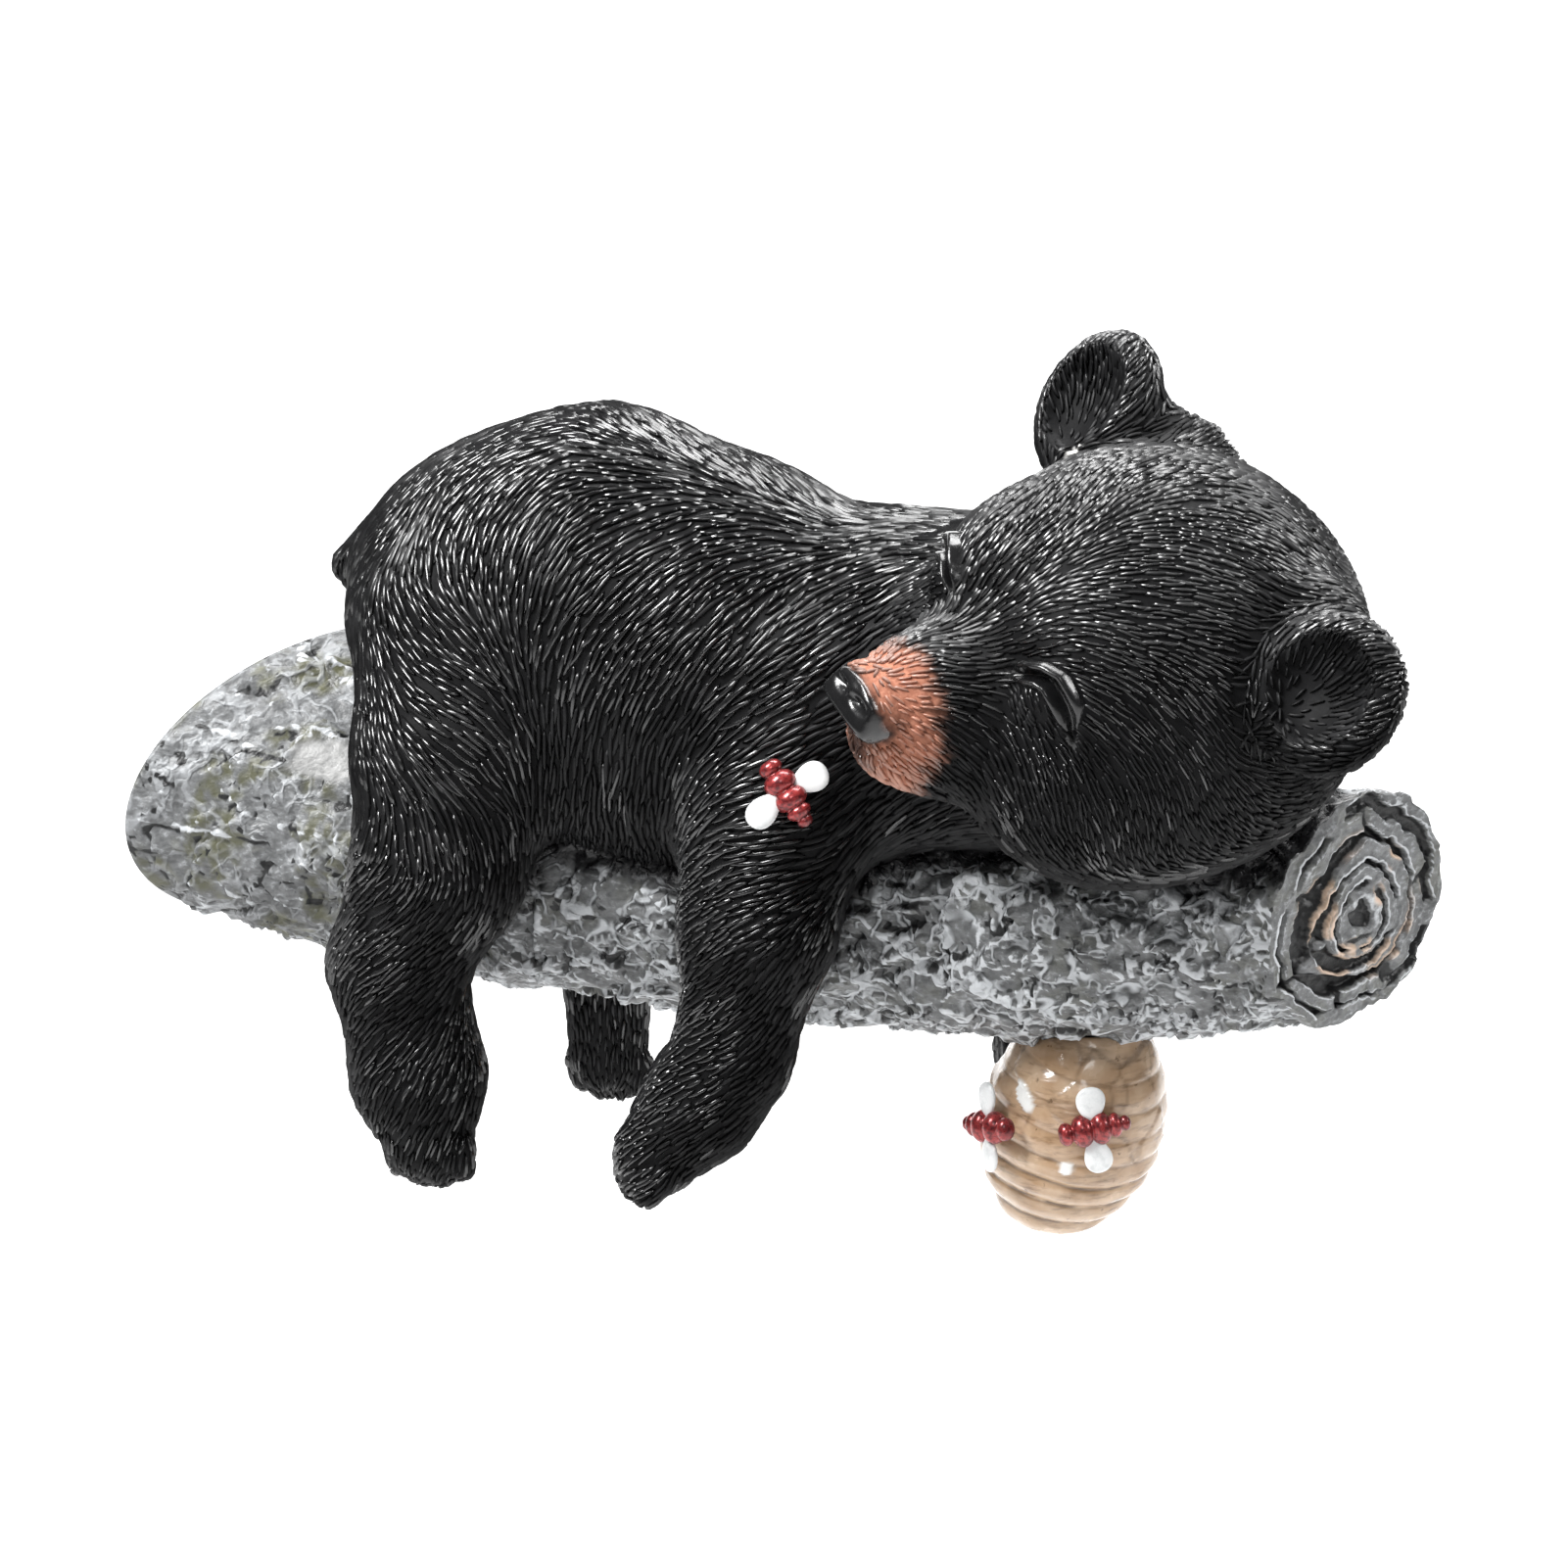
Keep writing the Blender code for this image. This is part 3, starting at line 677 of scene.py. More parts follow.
@dataclass(frozen=True)
class HivePaint:
    """Tan hive under a brown wash and a thick clear gloss."""

    tan: Triple = (0.41, 0.262, 0.150)
    pale: Triple = (0.60, 0.435, 0.295)
    wash: Triple = (0.095, 0.050, 0.024)
    white: Triple = (0.86, 0.86, 0.84)

    def material(self, name: str) -> Material:
        """Make the paint."""
        paint = Painter(name)
        broad = paint.grain(0.006, 4.0)
        streak = paint.grain(0.004, 4.0, (1.0, 1.0, 5.0))
        colour = paint.mix(paint.remap(broad, 0.35, 0.68), self.tan, self.pale)
        colour = paint.mix(paint.remap(streak, 0.53, 0.76, 0.0, 0.7), colour, self.wash)
        spot = paint.remap(paint.grain(0.0016, 3.0), 0.66, 0.74, 0.0, 0.7)
        colour = paint.mix(spot, colour, self.wash)
        colour = paint.mix(paint.measure("wash"), colour, self.wash)
        colour = paint.mix(paint.measure("fleck"), colour, self.white)
        rough = paint.remap(broad, 0.3, 0.7, 0.16, 0.30)
        normal = paint.bump(streak, 0.3, 0.0003)
        return paint.finish(colour, rough, normal, coat=0.6, coat_roughness=0.08)


@dataclass(frozen=True)
class BeePaint:
    """Dark red metallic paint for a bee's body."""

    red: Triple = (0.42, 0.050, 0.050)
    dark: Triple = (0.085, 0.007, 0.010)

    def material(self, name: str) -> Material:
        """Make the paint."""
        paint = Painter(name)
        flake = paint.grain(0.0006, 3.0)
        colour = paint.mix(paint.remap(flake, 0.35, 0.65), self.red, self.dark)
        colour = paint.mix(paint.measure("wash"), colour, self.dark)
        rough = paint.remap(flake, 0.3, 0.7, 0.24, 0.38)
        return paint.finish(colour, rough, paint.bump(flake, 0.25, 0.00008), coat=0.4, metallic=0.45)


@dataclass(frozen=True)
class WingPaint:
    """Thick white gloss paint for a bee's wings."""

    white: Triple = (0.84, 0.85, 0.85)
    thin: Triple = (0.62, 0.64, 0.64)

    def material(self, name: str) -> Material:
        """Make the paint."""
        paint = Painter(name)
        patch = paint.grain(0.0015, 4.0)
        colour = paint.mix(paint.remap(patch, 0.45, 0.75), self.white, self.thin)
        rough = paint.remap(patch, 0.3, 0.7, 0.22, 0.36)
        return paint.finish(colour, rough, paint.bump(patch, 0.3, 0.0002), coat=0.3)


@dataclass(frozen=True)
class Roll:
    """A tapered roll with round ends, in the turned frame or the head's."""

    start: Triple
    end: Triple
    start_radius: float
    end_radius: float
    soft: float = 3.0

    def distance(self, points: Points) -> Values:
        """Give the distance from each place to the roll."""
        start = np.asarray(self.start)
        axis = np.asarray(self.end) - start
        share = np.clip((points - start) @ axis / float(axis @ axis), 0.0, 1.0)
        nearest = start + share[:, None] * axis
        radius = self.start_radius + (self.end_radius - self.start_radius) * share
        return np.linalg.norm(points - nearest, axis=1) - radius


@dataclass(frozen=True)
class Ball:
    """A stretched ball."""

    middle: Triple
    radii: Triple
    soft: float = 3.0

    def distance(self, points: Points) -> Values:
        """Give the distance from each place to the ball, good near its skin."""
        offset = points - np.asarray(self.middle)
        radii = np.asarray(self.radii)
        near = np.linalg.norm(offset / radii, axis=1)
        slope = np.linalg.norm(offset / (radii * radii), axis=1)
        return near * (near - 1.0) / np.maximum(slope, 1e-6)


@dataclass(frozen=True)
class Paw:
    """The four toes at the end of a leg."""

    end: Triple
    point_way: Triple
    spread_way: Triple
    spread: float
    size: float

    def toes(self) -> list[Roll]:
        """Give the toes as short rolls."""
        made = []
        for toe in range(4):
            share = (toe - 1.5) / 1.5
            middle = np.array(self.end) + np.array(self.spread_way) * self.spread * share * 0.82
            middle = middle + np.array(self.point_way) * (5.6 - 1.3 * share * share)
            back = middle - np.array(self.point_way) * 3.0
            made.append(Roll(tuple(back), tuple(middle), self.size * 0.9, self.size * 0.8, 1.2))
        return made


@dataclass(frozen=True)
class Branch:
    """The grey branch, flat where it meets the wall and sawn off at the other end."""

    reach: float = 165.2
    radius: float = 17.8
    sawn_turn: float = 27.0
    root_half_width: float = 27.2
    root_half_height: float = 22.0
    root_tilt: float = 0.13
    bark_depth: float = 0.98

    @property
    def sag(self) -> float:
        """How far the branch's middle line sags."""
        return self.radius * 0.45

    @property
    def wall_slope(self) -> float:
        """How far forward the wall runs for each millimetre to the left."""
        return math.cos(TURN) / math.sin(TURN)

    @property
    def saw_slope(self) -> float:
        """How far forward the sawn face runs for each millimetre to the left."""
        return math.tan(math.radians(self.sawn_turn))

    @property
    def saw_way(self) -> Points:
        """The way straight out of the sawn face."""
        angle = math.radians(self.sawn_turn)
        return np.array([math.cos(angle), -math.sin(angle), 0.0])

    def middle(self, along: Values) -> Values:
        """Give the height of the middle line at a share of the length."""
        drop = 1.0 - np.exp(-along / 0.13)
        rise = smooth_step(0.72, 1.05, along)
        return self.sag * (0.36 - 1.36 * drop + 0.90 * rise)

    def bark(self, along: Values, around: Values) -> Values:
        """Give the depth of the bark's main scales, from about -1 to 1."""
        row = along * 15.0
        wave = np.sin(around * 7.0 + 2.6 * np.sin(row * 1.7) + 0.9 * row)
        scale = np.sin(row * 5.1 + 2.0 * np.sin(around * 3.0 + row)) * np.cos(around * 11.0 - row * 2.3)
        return 0.55 * wave + 0.65 * scale

    def girth(self, along: Values) -> tuple[Values, Values, Values]:
        """Give the half width, the half height and how much of the root's flare is left."""
        radius = self.radius * (1.28 - 0.28 * along)
        leave = np.exp(-along * self.reach * math.sin(TURN) / (self.radius * 0.62))
        wide = radius + (self.root_half_width - radius) * leave
        tall = radius + (self.root_half_height - radius) * leave
        return wide, tall, leave

    def skin(self, along: Values, around: Values, grow: Values | float) -> Points:
        """Give places on the branch.

        Args:
            along: Share of the length of each place.
            around: Angle of each place about the middle line.
            grow: How far each place stands out from the smooth branch.

        Returns:
            The places in the turned frame.
        """
        wide, tall, leave = self.girth(along)
        left = (wide + grow) * np.cos(around)
        start = self.wall_slope * left
        finish = self.reach + self.saw_slope * left
        forward = start + (finish - start) * along
        up = (tall + grow) * np.sin(around) + self.middle(along) + self.root_tilt * leave * left
        return np.column_stack([forward, left, up])

    def distance(self, points: Points) -> Values:
        """Give the distance from each place to the smooth branch, good near its side."""
        slope = self.saw_slope - self.wall_slope
        along = (points[:, 0] - self.wall_slope * points[:, 1]) / (self.reach + slope * points[:, 1])
        inside = np.clip(along, 0.0, 1.0)
        wide, tall, leave = self.girth(inside)
        across = points[:, 1]
        up = points[:, 2] - self.middle(inside) - self.root_tilt * leave * across
        size = np.sqrt((across / wide) ** 2 + (up / tall) ** 2)
        side = (size - 1.0) * np.hypot(across, up) / np.maximum(size, 1e-6)
        side = np.where(size < 0.05, -np.minimum(wide, tall), side)
        past = np.maximum(-along, along - 1.0) * self.reach * 0.8
        return np.maximum(side, past)


# The trunk, the far foreleg, the near one, the near hind leg, the far one and the tail
ROLLS = (
    Roll((31.0, 0.0, 34.2), (44.0, 0.0, 34.0), 24.4, 30.3, 4.0),
    Roll((44.0, 0.0, 34.0), (64.5, -1.0, 28.8), 30.3, 29.6, 4.0),
    Roll((64.5, -1.0, 28.8), (86.0, -2.0, 25.0), 29.8, 25.0, 4.0),
    Roll((86.0, -2.0, 25.5), (112.0, -4.0, 29.0), 25.0, 24.0, 5.0),
    Roll((93.0, 6.0, 34.8), (103.0, 5.0, 35.4), 16.5, 16.5, 6.0),
    Roll((40.0, -0.5, 19.0), (76.0, -0.5, 17.0), 24.8, 24.4, 8.0),
    Roll((92.0, 14.0, 27.0), (97.0, 20.0, 20.0), 18.0, 15.0, 6.0),
    Roll((97.0, 22.0, 18.0), (102.0, 28.5, -2.0), 14.0, 11.5, 6.0),
    Roll((102.0, 28.5, -2.0), (108.0, 30.5, -26.0), 11.5, 9.0, 3.0),
    Roll((108.0, 30.5, -26.0), (109.0, 29.5, -42.0), 9.0, 7.2, 3.0),
    Roll((86.0, -13.0, 26.0), (81.5, -23.0, 13.0), 18.0, 14.0, 7.0),
    Roll((81.5, -23.0, 13.0), (80.8, -29.5, -3.0), 14.0, 11.8, 4.0),
    Roll((81.0, -29.5, -3.0), (77.8, -32.5, -23.5), 11.2, 8.5, 3.0),
    Roll((77.8, -32.5, -23.5), (73.4, -34.5, -31.0), 8.5, 8.5, 3.0),
    Roll((73.4, -34.5, -31.0), (67.2, -36.5, -39.0), 8.5, 6.6, 3.0),
    Roll((31.0, -11.0, 30.0), (31.0, -22.0, 16.0), 20.0, 15.5, 6.0),
    Roll((31.0, -22.0, 16.0), (30.0, -29.0, 0.0), 15.5, 12.6, 5.0),
    Roll((29.6, -29.0, 0.0), (24.0, -32.0, -15.5), 12.6, 10.2, 4.0),
    Roll((24.0, -32.0, -15.5), (25.8, -32.0, -26.0), 10.2, 9.2, 3.0),
    Roll((25.8, -32.0, -26.0), (27.2, -32.5, -33.5), 9.2, 9.9, 3.0),
    Roll((27.2, -32.5, -33.5), (29.0, -33.8, -42.6), 9.9, 7.0, 3.0),
    Roll((38.0, 10.0, 29.0), (38.0, 17.0, 17.0), 18.5, 14.5, 6.0),
    Roll((38.0, 17.0, 17.0), (37.0, 24.0, -2.0), 14.5, 11.4, 5.0),
    Roll((37.0, 24.0, -2.0), (37.0, 26.0, -26.0), 11.4, 8.4, 4.0),
    Roll((37.0, 26.0, -26.0), (37.2, 25.5, -51.6), 8.2, 6.2, 3.0),
    Roll((9.5, -1.5, 39.0), (5.5, -2.0, 37.5), 4.2, 2.6, 5.0),
)
# The toes of the near foreleg, the near hind leg, the far foreleg and the far hind leg
PAWS = (
    Paw((67.2, -37.0, -39.0), (-0.62, -0.25, -0.74), (0.55, -0.78, -0.22), 6.0, 3.1),
    Paw((29.0, -34.2, -42.4), (0.20, -0.15, -0.97), (0.93, -0.30, 0.18), 6.8, 3.2),
    Paw((109.0, 29.5, -42.0), (0.05, 0.05, -1.0), (0.98, 0.1, 0.0), 6.4, 3.1),
    Paw((37.2, 25.5, -51.6), (0.1, 0.05, -1.0), (0.98, 0.1, 0.0), 5.8, 2.9),
)
# The skull, cheeks, brows, muzzle, chin, nose and eyelids, in the head's frame
HEAD_BALLS = (
    Ball((-0.5, 0.0, 2.0), (32.6, 32.5, 31.5), 8.0),
    Ball((9.5, 12.0, -8.0), (22.5, 16.0, 18.0), 6.0),
    Ball((9.0, -13.5, -9.5), (23.0, 18.5, 20.0), 6.0),
    Ball((18.0, 10.5, 9.5), (14.0, 12.0, 12.0), 5.0),
    Ball((18.0, -10.5, 9.5), (14.0, 12.0, 12.0), 5.0),
    Ball((28.0, 0.0, -6.0), (14.5, 13.2, 11.6), 7.0),
    Ball((36.5, 0.0, -6.8), (12.0, 10.2, 10.2), 5.0),
    Ball((31.0, 0.0, -13.8), (14.0, 8.4, 5.8), 4.0),
    Ball((46.6, 0.0, -5.4), (4.6, 6.6, 5.2), 1.2),
    Ball((27.0, 13.0, 5.5), (5.5, 4.2, 4.2), 2.0),
    Ball((27.0, -13.0, 5.5), (5.5, 4.2, 4.2), 2.0),
)


@dataclass(frozen=True)
class Head:
    """The cub's head, in its own frame: towards the nose, the left ear and the crown."""

    nose_way: Triple = (-0.623, -0.760, 0.190)
    ear_way: Triple = (0.671, -0.643, -0.369)
    place: Triple = (135.0, -12.2, 36.8)
    ear_place: Triple = (-1.1, 34.5, 22.8)
    ear_size: Triple = (5.4, 11.7, 12.3)
    ear_hollow: Triple = (4.6, 7.9, 8.4)
    ear_back: Triple = (-9.0, 20.0, 24.0)
    nose: Triple = (46.6, 0.0, -5.4)
    lid: Triple = (31.2, 16.6, 7.1)
    lid_depth: float = 6.0
    crease: tuple[tuple[float, float], ...] = (
        (3.9, 4.0), (2.3, 4.1), (0.7, 3.8), (-0.8, 2.8), (-2.0, 0.8), (-2.9, -0.9), (-3.6, -2.6),
        (-4.1, -4.6), (-4.3, -6.4))

    @property
    def axes(self) -> Points:
        """The three ways of the head's frame, as rows."""
        nose = unit(np.array(self.nose_way))
        ear = np.array(self.ear_way)
        ear = unit(ear - nose * float(ear @ nose))
        return np.array([nose, ear, np.cross(nose, ear)])

    def local(self, points: Points) -> Points:
        """Turn places of the turned frame into the head's frame."""
        return (points - np.asarray(self.place)) @ self.axes.T

    def ear_axes(self, side: float) -> Points:
        """Give the axes of one ear: the way it faces, across, and to its tip."""
        facing = unit(np.array([0.93, side * 0.12, 0.33]))
        top = np.array([0.0, side * 0.45, 0.89])
        top = unit(top - facing * float(top @ facing))
        return np.array([facing, np.cross(top, facing), top])

    def in_ear(self, local: Points, side: float) -> Points:
        """Turn places of the head's frame into one ear's."""
        return (local - np.array(self.ear_place) * (1.0, side, 1.0)) @ self.ear_axes(side).T

    def distance(self, points: Points) -> Values:
        """Give the distance from each place of the turned frame to the head."""
        local = self.local(points)
        distance = np.full(len(points), FAR)
        for ball in HEAD_BALLS:
            distance = blend(distance, ball.distance(local), ball.soft)
        for side in BOTH_SIDES:
            place = np.array(self.ear_place) * (1.0, side, 1.0)
            seen = self.in_ear(local, side)
            back = np.array(self.ear_back) * (1.0, side, 1.0)
            front = place - self.ear_axes(side)[0] * 3.0
            distance = blend(distance, Roll(tuple(front), tuple(back), 5.6, 6.4).distance(local), 5.0)
            distance = blend(distance, Ball((0.0, 0.0, 0.0), self.ear_size).distance(seen), 4.0)
            distance = carve(distance, Ball((4.4, 0.0, 0.6), self.ear_hollow).distance(seen), 1.2)
        return distance

    def canal_share(self, local: Points, side: float) -> Values:
        """Give how far inside one ear's hollow each place is, where little fur is carved."""
        seen = self.in_ear(local, side)
        reach = np.hypot(seen[:, 1] / 7.2, (seen[:, 2] + 4.2) / 5.0)
        return smooth_step(1.15, 0.75, reach) * (seen[:, 0] > -1.5) * (np.abs(seen[:, 0]) < 7.0)

    def lid_axes(self, side: float) -> Points:
        """Give the plane of one closed eye: towards the nose, to the brow, and outwards."""
        out = unit(np.array([0.36, 0.74 * side, 0.57]))
        nose = np.array([1.0, 0.0, 0.0])
        nose = unit(nose - out * float(nose @ out))
        brow = np.cross(nose, out) * side
        return np.array([nose, brow, out])

    def in_lid(self, local: Points, side: float) -> Points:
        """Turn places of the head's frame into one eye's plane."""
        return (local - np.array(self.lid) * (1.0, side, 1.0)) @ self.lid_axes(side).T

    def by_lid(self, seen: Points) -> np.ndarray:
        """Tell which places in an eye's plane are close above or below it."""
        return np.abs(seen[:, 2]) < self.lid_depth

    def pad(self, local: Points) -> Values:
        """Give how far each place is past the nose pad's edge, below zero on the pad."""
        reach = np.sqrt((local[:, 1] / 6.1) ** 2 + ((local[:, 2] + 6.4) / 4.3) ** 2)
        return np.maximum(reach - 1.0, (45.0 - local[:, 0]) / 4.0)

    def nose_relief(self, local: Points) -> Values:
        """Give the carving of the nose pad: its front edge, two nostrils and the groove below."""
        side_way = np.abs(local[:, 1])
        up = local[:, 2]
        pad = self.pad(local)
        flat = 0.057 * np.clip(side_way, 0.0, 4.6) ** 2
        flat = flat * smooth_step(6.5, 4.6, side_way) * smooth_step(0.20, -0.18, pad)
        edge = hump(up, -7.3 + 0.015 * side_way ** 2, 0.95) * smooth_step(6.0, 4.8, side_way)
        hole = hump(side_way, 2.4, 1.9) * hump(up, -4.5, 0.75)
        under = hump(up, -8.9, 1.1) * smooth_step(5.6, 3.0, side_way)
        bridge = hump(side_way, 0.0, 0.9) * hump(up, -4.4, 1.6)
        line = hump(side_way, 0.0, 0.5) * smooth_step(-7.8, -9.0, up)
        brim = hump(pad, 0.02, 0.09)
        carved = 0.72 * edge - 1.2 * hole - 0.40 * under + 0.12 * bridge - 0.5 * line + 0.12 * brim
        return flat + carved

    def lid_relief(self, seen: Points) -> Values:
        """Give the carving of one closed eye, from places in its own plane."""
        flat = seen[:, :2]
        reach, past, share = path_reach(flat, self.crease)
        fade = smooth_step(0.0, 0.10, share) * smooth_step(1.0, 0.84, share)
        outside = smooth_step(0.15, -0.15, past * reach)
        cut = -1.10 * hump(reach, 0.0, 0.48) * np.maximum(fade, 0.2)
        brow = smooth_step(0.02, 0.2, share) * smooth_step(0.80, 0.55, share)
        fold = 1.40 * hump(reach, 1.30, 0.70) * outside * (0.3 + 0.7 * brow)
        rim = 0.80 * hump(reach, 1.15, 0.60) * (1.0 - outside) * fade
        dome = 0.75 * smooth_step(1.0, 0.0, np.hypot((flat[:, 0] - 0.4) / 4.2, flat[:, 1] / 4.4))
        return cut + fold + rim + dome

    def relief(self, points: Points) -> Values:
        """Give how far the finer carving of the face stands out at each place."""
        local = self.local(points)
        height = np.zeros(len(points))
        for side in BOTH_SIDES:
            seen = self.in_lid(local, side)
            near = self.by_lid(seen) & (np.hypot(seen[:, 0], seen[:, 1]) < 11.0)
            height[near] += self.lid_relief(seen[near])
        front = (np.linalg.norm(local - np.asarray(self.nose), axis=1) < 10.0) & (local[:, 0] > 42.5)
        height[front] += self.nose_relief(local[front])
        mouth = (np.abs(local[:, 0] - 36.0) < 12.0) & (local[:, 2] < -9.5)
        mouth &= np.abs(local[:, 1]) < 13.0
        seen = local[mouth]
        level = -13.2 - 0.16 * (46.0 - seen[:, 0])
        height[mouth] -= 0.5 * hump(seen[:, 2], level, 0.42) * smooth_step(25.0, 30.0, seen[:, 0])
        return height

    def sunk_share(self, points: Points) -> Values:
        """Give where the skin lies below the strokes, all but the nose pad and the eye's fold."""
        local = self.local(points)
        share = smooth_step(-0.04, 0.16, self.pad(local))
        for side in BOTH_SIDES:
            seen = self.in_lid(local, side)
            share = share * np.where(self.by_lid(seen), 1.0 - self.fold_share(seen), 1.0)
        return share

    def fold_share(self, seen: Points) -> Values:
        """Give the smooth band along one eye's crease, from places in its own plane."""
        reach, past, share = path_reach(seen[:, :2], self.crease)
        near_brow = smooth_step(0.0, 0.15, share) * smooth_step(0.85, 0.6, share)
        wide = 0.62 + np.where(past < 0.0, 1.55, 1.05) * near_brow
        return smooth_step(1.25, 0.8, reach / wide)

    def tan_share(self, points: Points) -> Values:
        """Give how much of the airbrushed tan lies on each place."""
        local = self.local(points)
        wisp = 1.1 * cloud(points, 1.2, 31) + 0.8 * cloud(points, 3.0, 32)
        edge = 41.9 - 0.30 * np.maximum(0.0, -2.0 - local[:, 2])
        start = smooth_step(-1.9, 1.9, local[:, 0] - edge + wisp)
        off_pad = smooth_step(0.0, 0.26, self.pad(local) + 0.05 * cloud(points, 1.0, 33))
        under = np.exp(-np.abs(local[:, 1] / 4.4) ** 3) * smooth_step(-8.0, -9.6, local[:, 2])
        under = under * smooth_step(42.0, 44.0, local[:, 0]) * smooth_step(-18.5, -15.0, local[:, 2])
        muzzle = np.hypot(local[:, 1], local[:, 2] + 8.0) < 15.0
        return start * off_pad * muzzle * (1.0 - 0.9 * under)

    def strokes_way(self, points: Points) -> tuple[Points, Values]:
        """Comb the head's fur away from the nose, with its own way in the ears and on the eyes.

        Args:
            points: Places on the head, in the turned frame.

        Returns:
            The way that the fur lies, and how much an ear or an eye decides it.
        """
        local = self.local(points)
        way = unit(local - np.array([45.0, 0.0, -5.0]))
        special = np.zeros(len(points))
        for side in BOTH_SIDES:
            seen = self.in_ear(local, side)
            inside = smooth_step(1.35, 0.95, np.linalg.norm(seen / np.array([7.0, 12.5, 13.0]), axis=1))
            rim = unit(seen - np.array([-2.0, 0.0, -12.0])) @ self.ear_axes(side)
            way = way * (1.0 - inside)[:, None] + rim * inside[:, None]
            seen = self.in_lid(local, side)
            lid = smooth_step(1.0, 0.75, np.hypot((seen[:, 0] - 0.4) / 4.4, (seen[:, 1] + 0.4) / 5.0))
            lid = lid * self.by_lid(seen)
            lash = np.array([-0.24, -0.97, 0.0]) @ self.lid_axes(side)
            way = way * (1.0 - lid)[:, None] + lash * lid[:, None]
            special = np.maximum(special, np.maximum(inside, lid))
        return unit(way) @ self.axes, special


@dataclass(frozen=True)
class Comb:
    """One stroke of the comb: where it is, which way the fur lies, and how far it reaches."""

    place: Triple
    way: Triple
    reach: float


# The lie of the fur all over the body, for where the photograph shows none
COMBING = tuple(Comb(*row) for row in (
    ((104, 4, 54), (-1, 0, 0.05), 12), ((80, 0, 54), (-1, 0, 0.1), 12), ((60, 0, 60), (-1, 0, 0), 11),
    ((42, 0, 64), (-0.95, 0, -0.2), 10), ((26, 0, 60), (-0.8, 0, -0.6), 9),
    ((12, 0, 52), (-0.4, 0, -0.9), 9), ((5, 0, 38), (0, 0, -1), 8), ((8, -12, 26), (0, 0, -1), 9),
    ((57, -20, 52), (-1, -0.1, -0.12), 9), ((45, -20, 52), (-0.7, -0.1, -0.7), 8),
    ((33, -20, 54), (-0.45, -0.1, -0.9), 8), ((23, -22, 46), (0, -0.1, -1), 7),
    ((34, -32, 44), (0.45, -0.1, -0.9), 6), ((24, -35, 35), (0.65, 0, -0.75), 7),
    ((34, -36, 31), (0.88, 0, -0.47), 6), ((30, -37, 25), (0.8, 0, -0.6), 6),
    ((26, -38, 18), (0.57, 0, -0.82), 7), ((12, -30, 20), (0.1, 0, -1), 8),
    ((46, -28, 40), (-0.5, 0, -0.87), 7), ((48, -28, 25), (0, 0, -1), 7),
    ((55, -28, 12), (0, 0.1, -1), 8), ((63, -26, 29), (-0.5, 0, -0.87), 8),
    ((76, -30, 37), (-0.7, 0, -0.7), 7), ((86, -28, 44), (-0.82, 0, -0.57), 8),
    ((76, -34, 27), (-0.9, 0, -0.42), 7), ((88, -36, 20), (-0.97, -0.1, -0.2), 7),
    ((98, -24, 24), (-0.9, 0, -0.4), 8), ((80, -40, -1), (-0.93, 0, -0.37), 8),
    ((93, -34, -2), (-0.6, -0.3, -0.8), 6), ((78, -42, -15), (-0.85, 0, -0.5), 7),
    ((76, -42, -27), (-0.94, 0, -0.34), 6), ((70, -42, -38), (-0.92, 0, -0.38), 6),
    ((78, -22, -20), (-0.3, 0, -0.95), 7), ((18, -40, 2), (0, 0, -1), 7),
    ((38, -36, -2), (-0.4, 0, -0.9), 6), ((26, -44, -9), (-0.9, 0, -0.4), 6),
    ((24, -44, -17), (-0.8, 0, -0.6), 6), ((26, -43, -27), (-0.6, 0, -0.8), 6),
    ((27, -43, -37), (-0.3, 0, -0.95), 7), ((16, -34, -20), (0.2, 0, -1), 6),
    ((28, -22, -25), (0, 0, -1), 7), ((50, 30, 32), (-0.5, 0.1, -0.9), 9),
    ((57, 20, 52), (-1, 0.1, -0.15), 9), ((38, 22, 52), (-0.6, 0.1, -0.8), 9),
    ((38, 36, 15), (0.2, 0, -1), 9), ((28, 30, 34), (0.5, 0, -0.85), 8),
    ((100, 36, 10), (-0.5, 0, -0.85), 9), ((105, 38, -15), (-0.6, 0, -0.8), 9),
    ((108, 37, -35), (-0.2, 0, -1), 8), ((37, 32, -20), (-0.2, 0, -1), 9),
    ((37, 30, -42), (0, 0, -1), 8), ((72, 30, 32), (-0.65, 0, -0.75), 10),
    ((70, 28, 10), (-0.2, 0, -1), 9), ((92, 28, 38), (-0.8, 0.1, -0.5), 9),
))


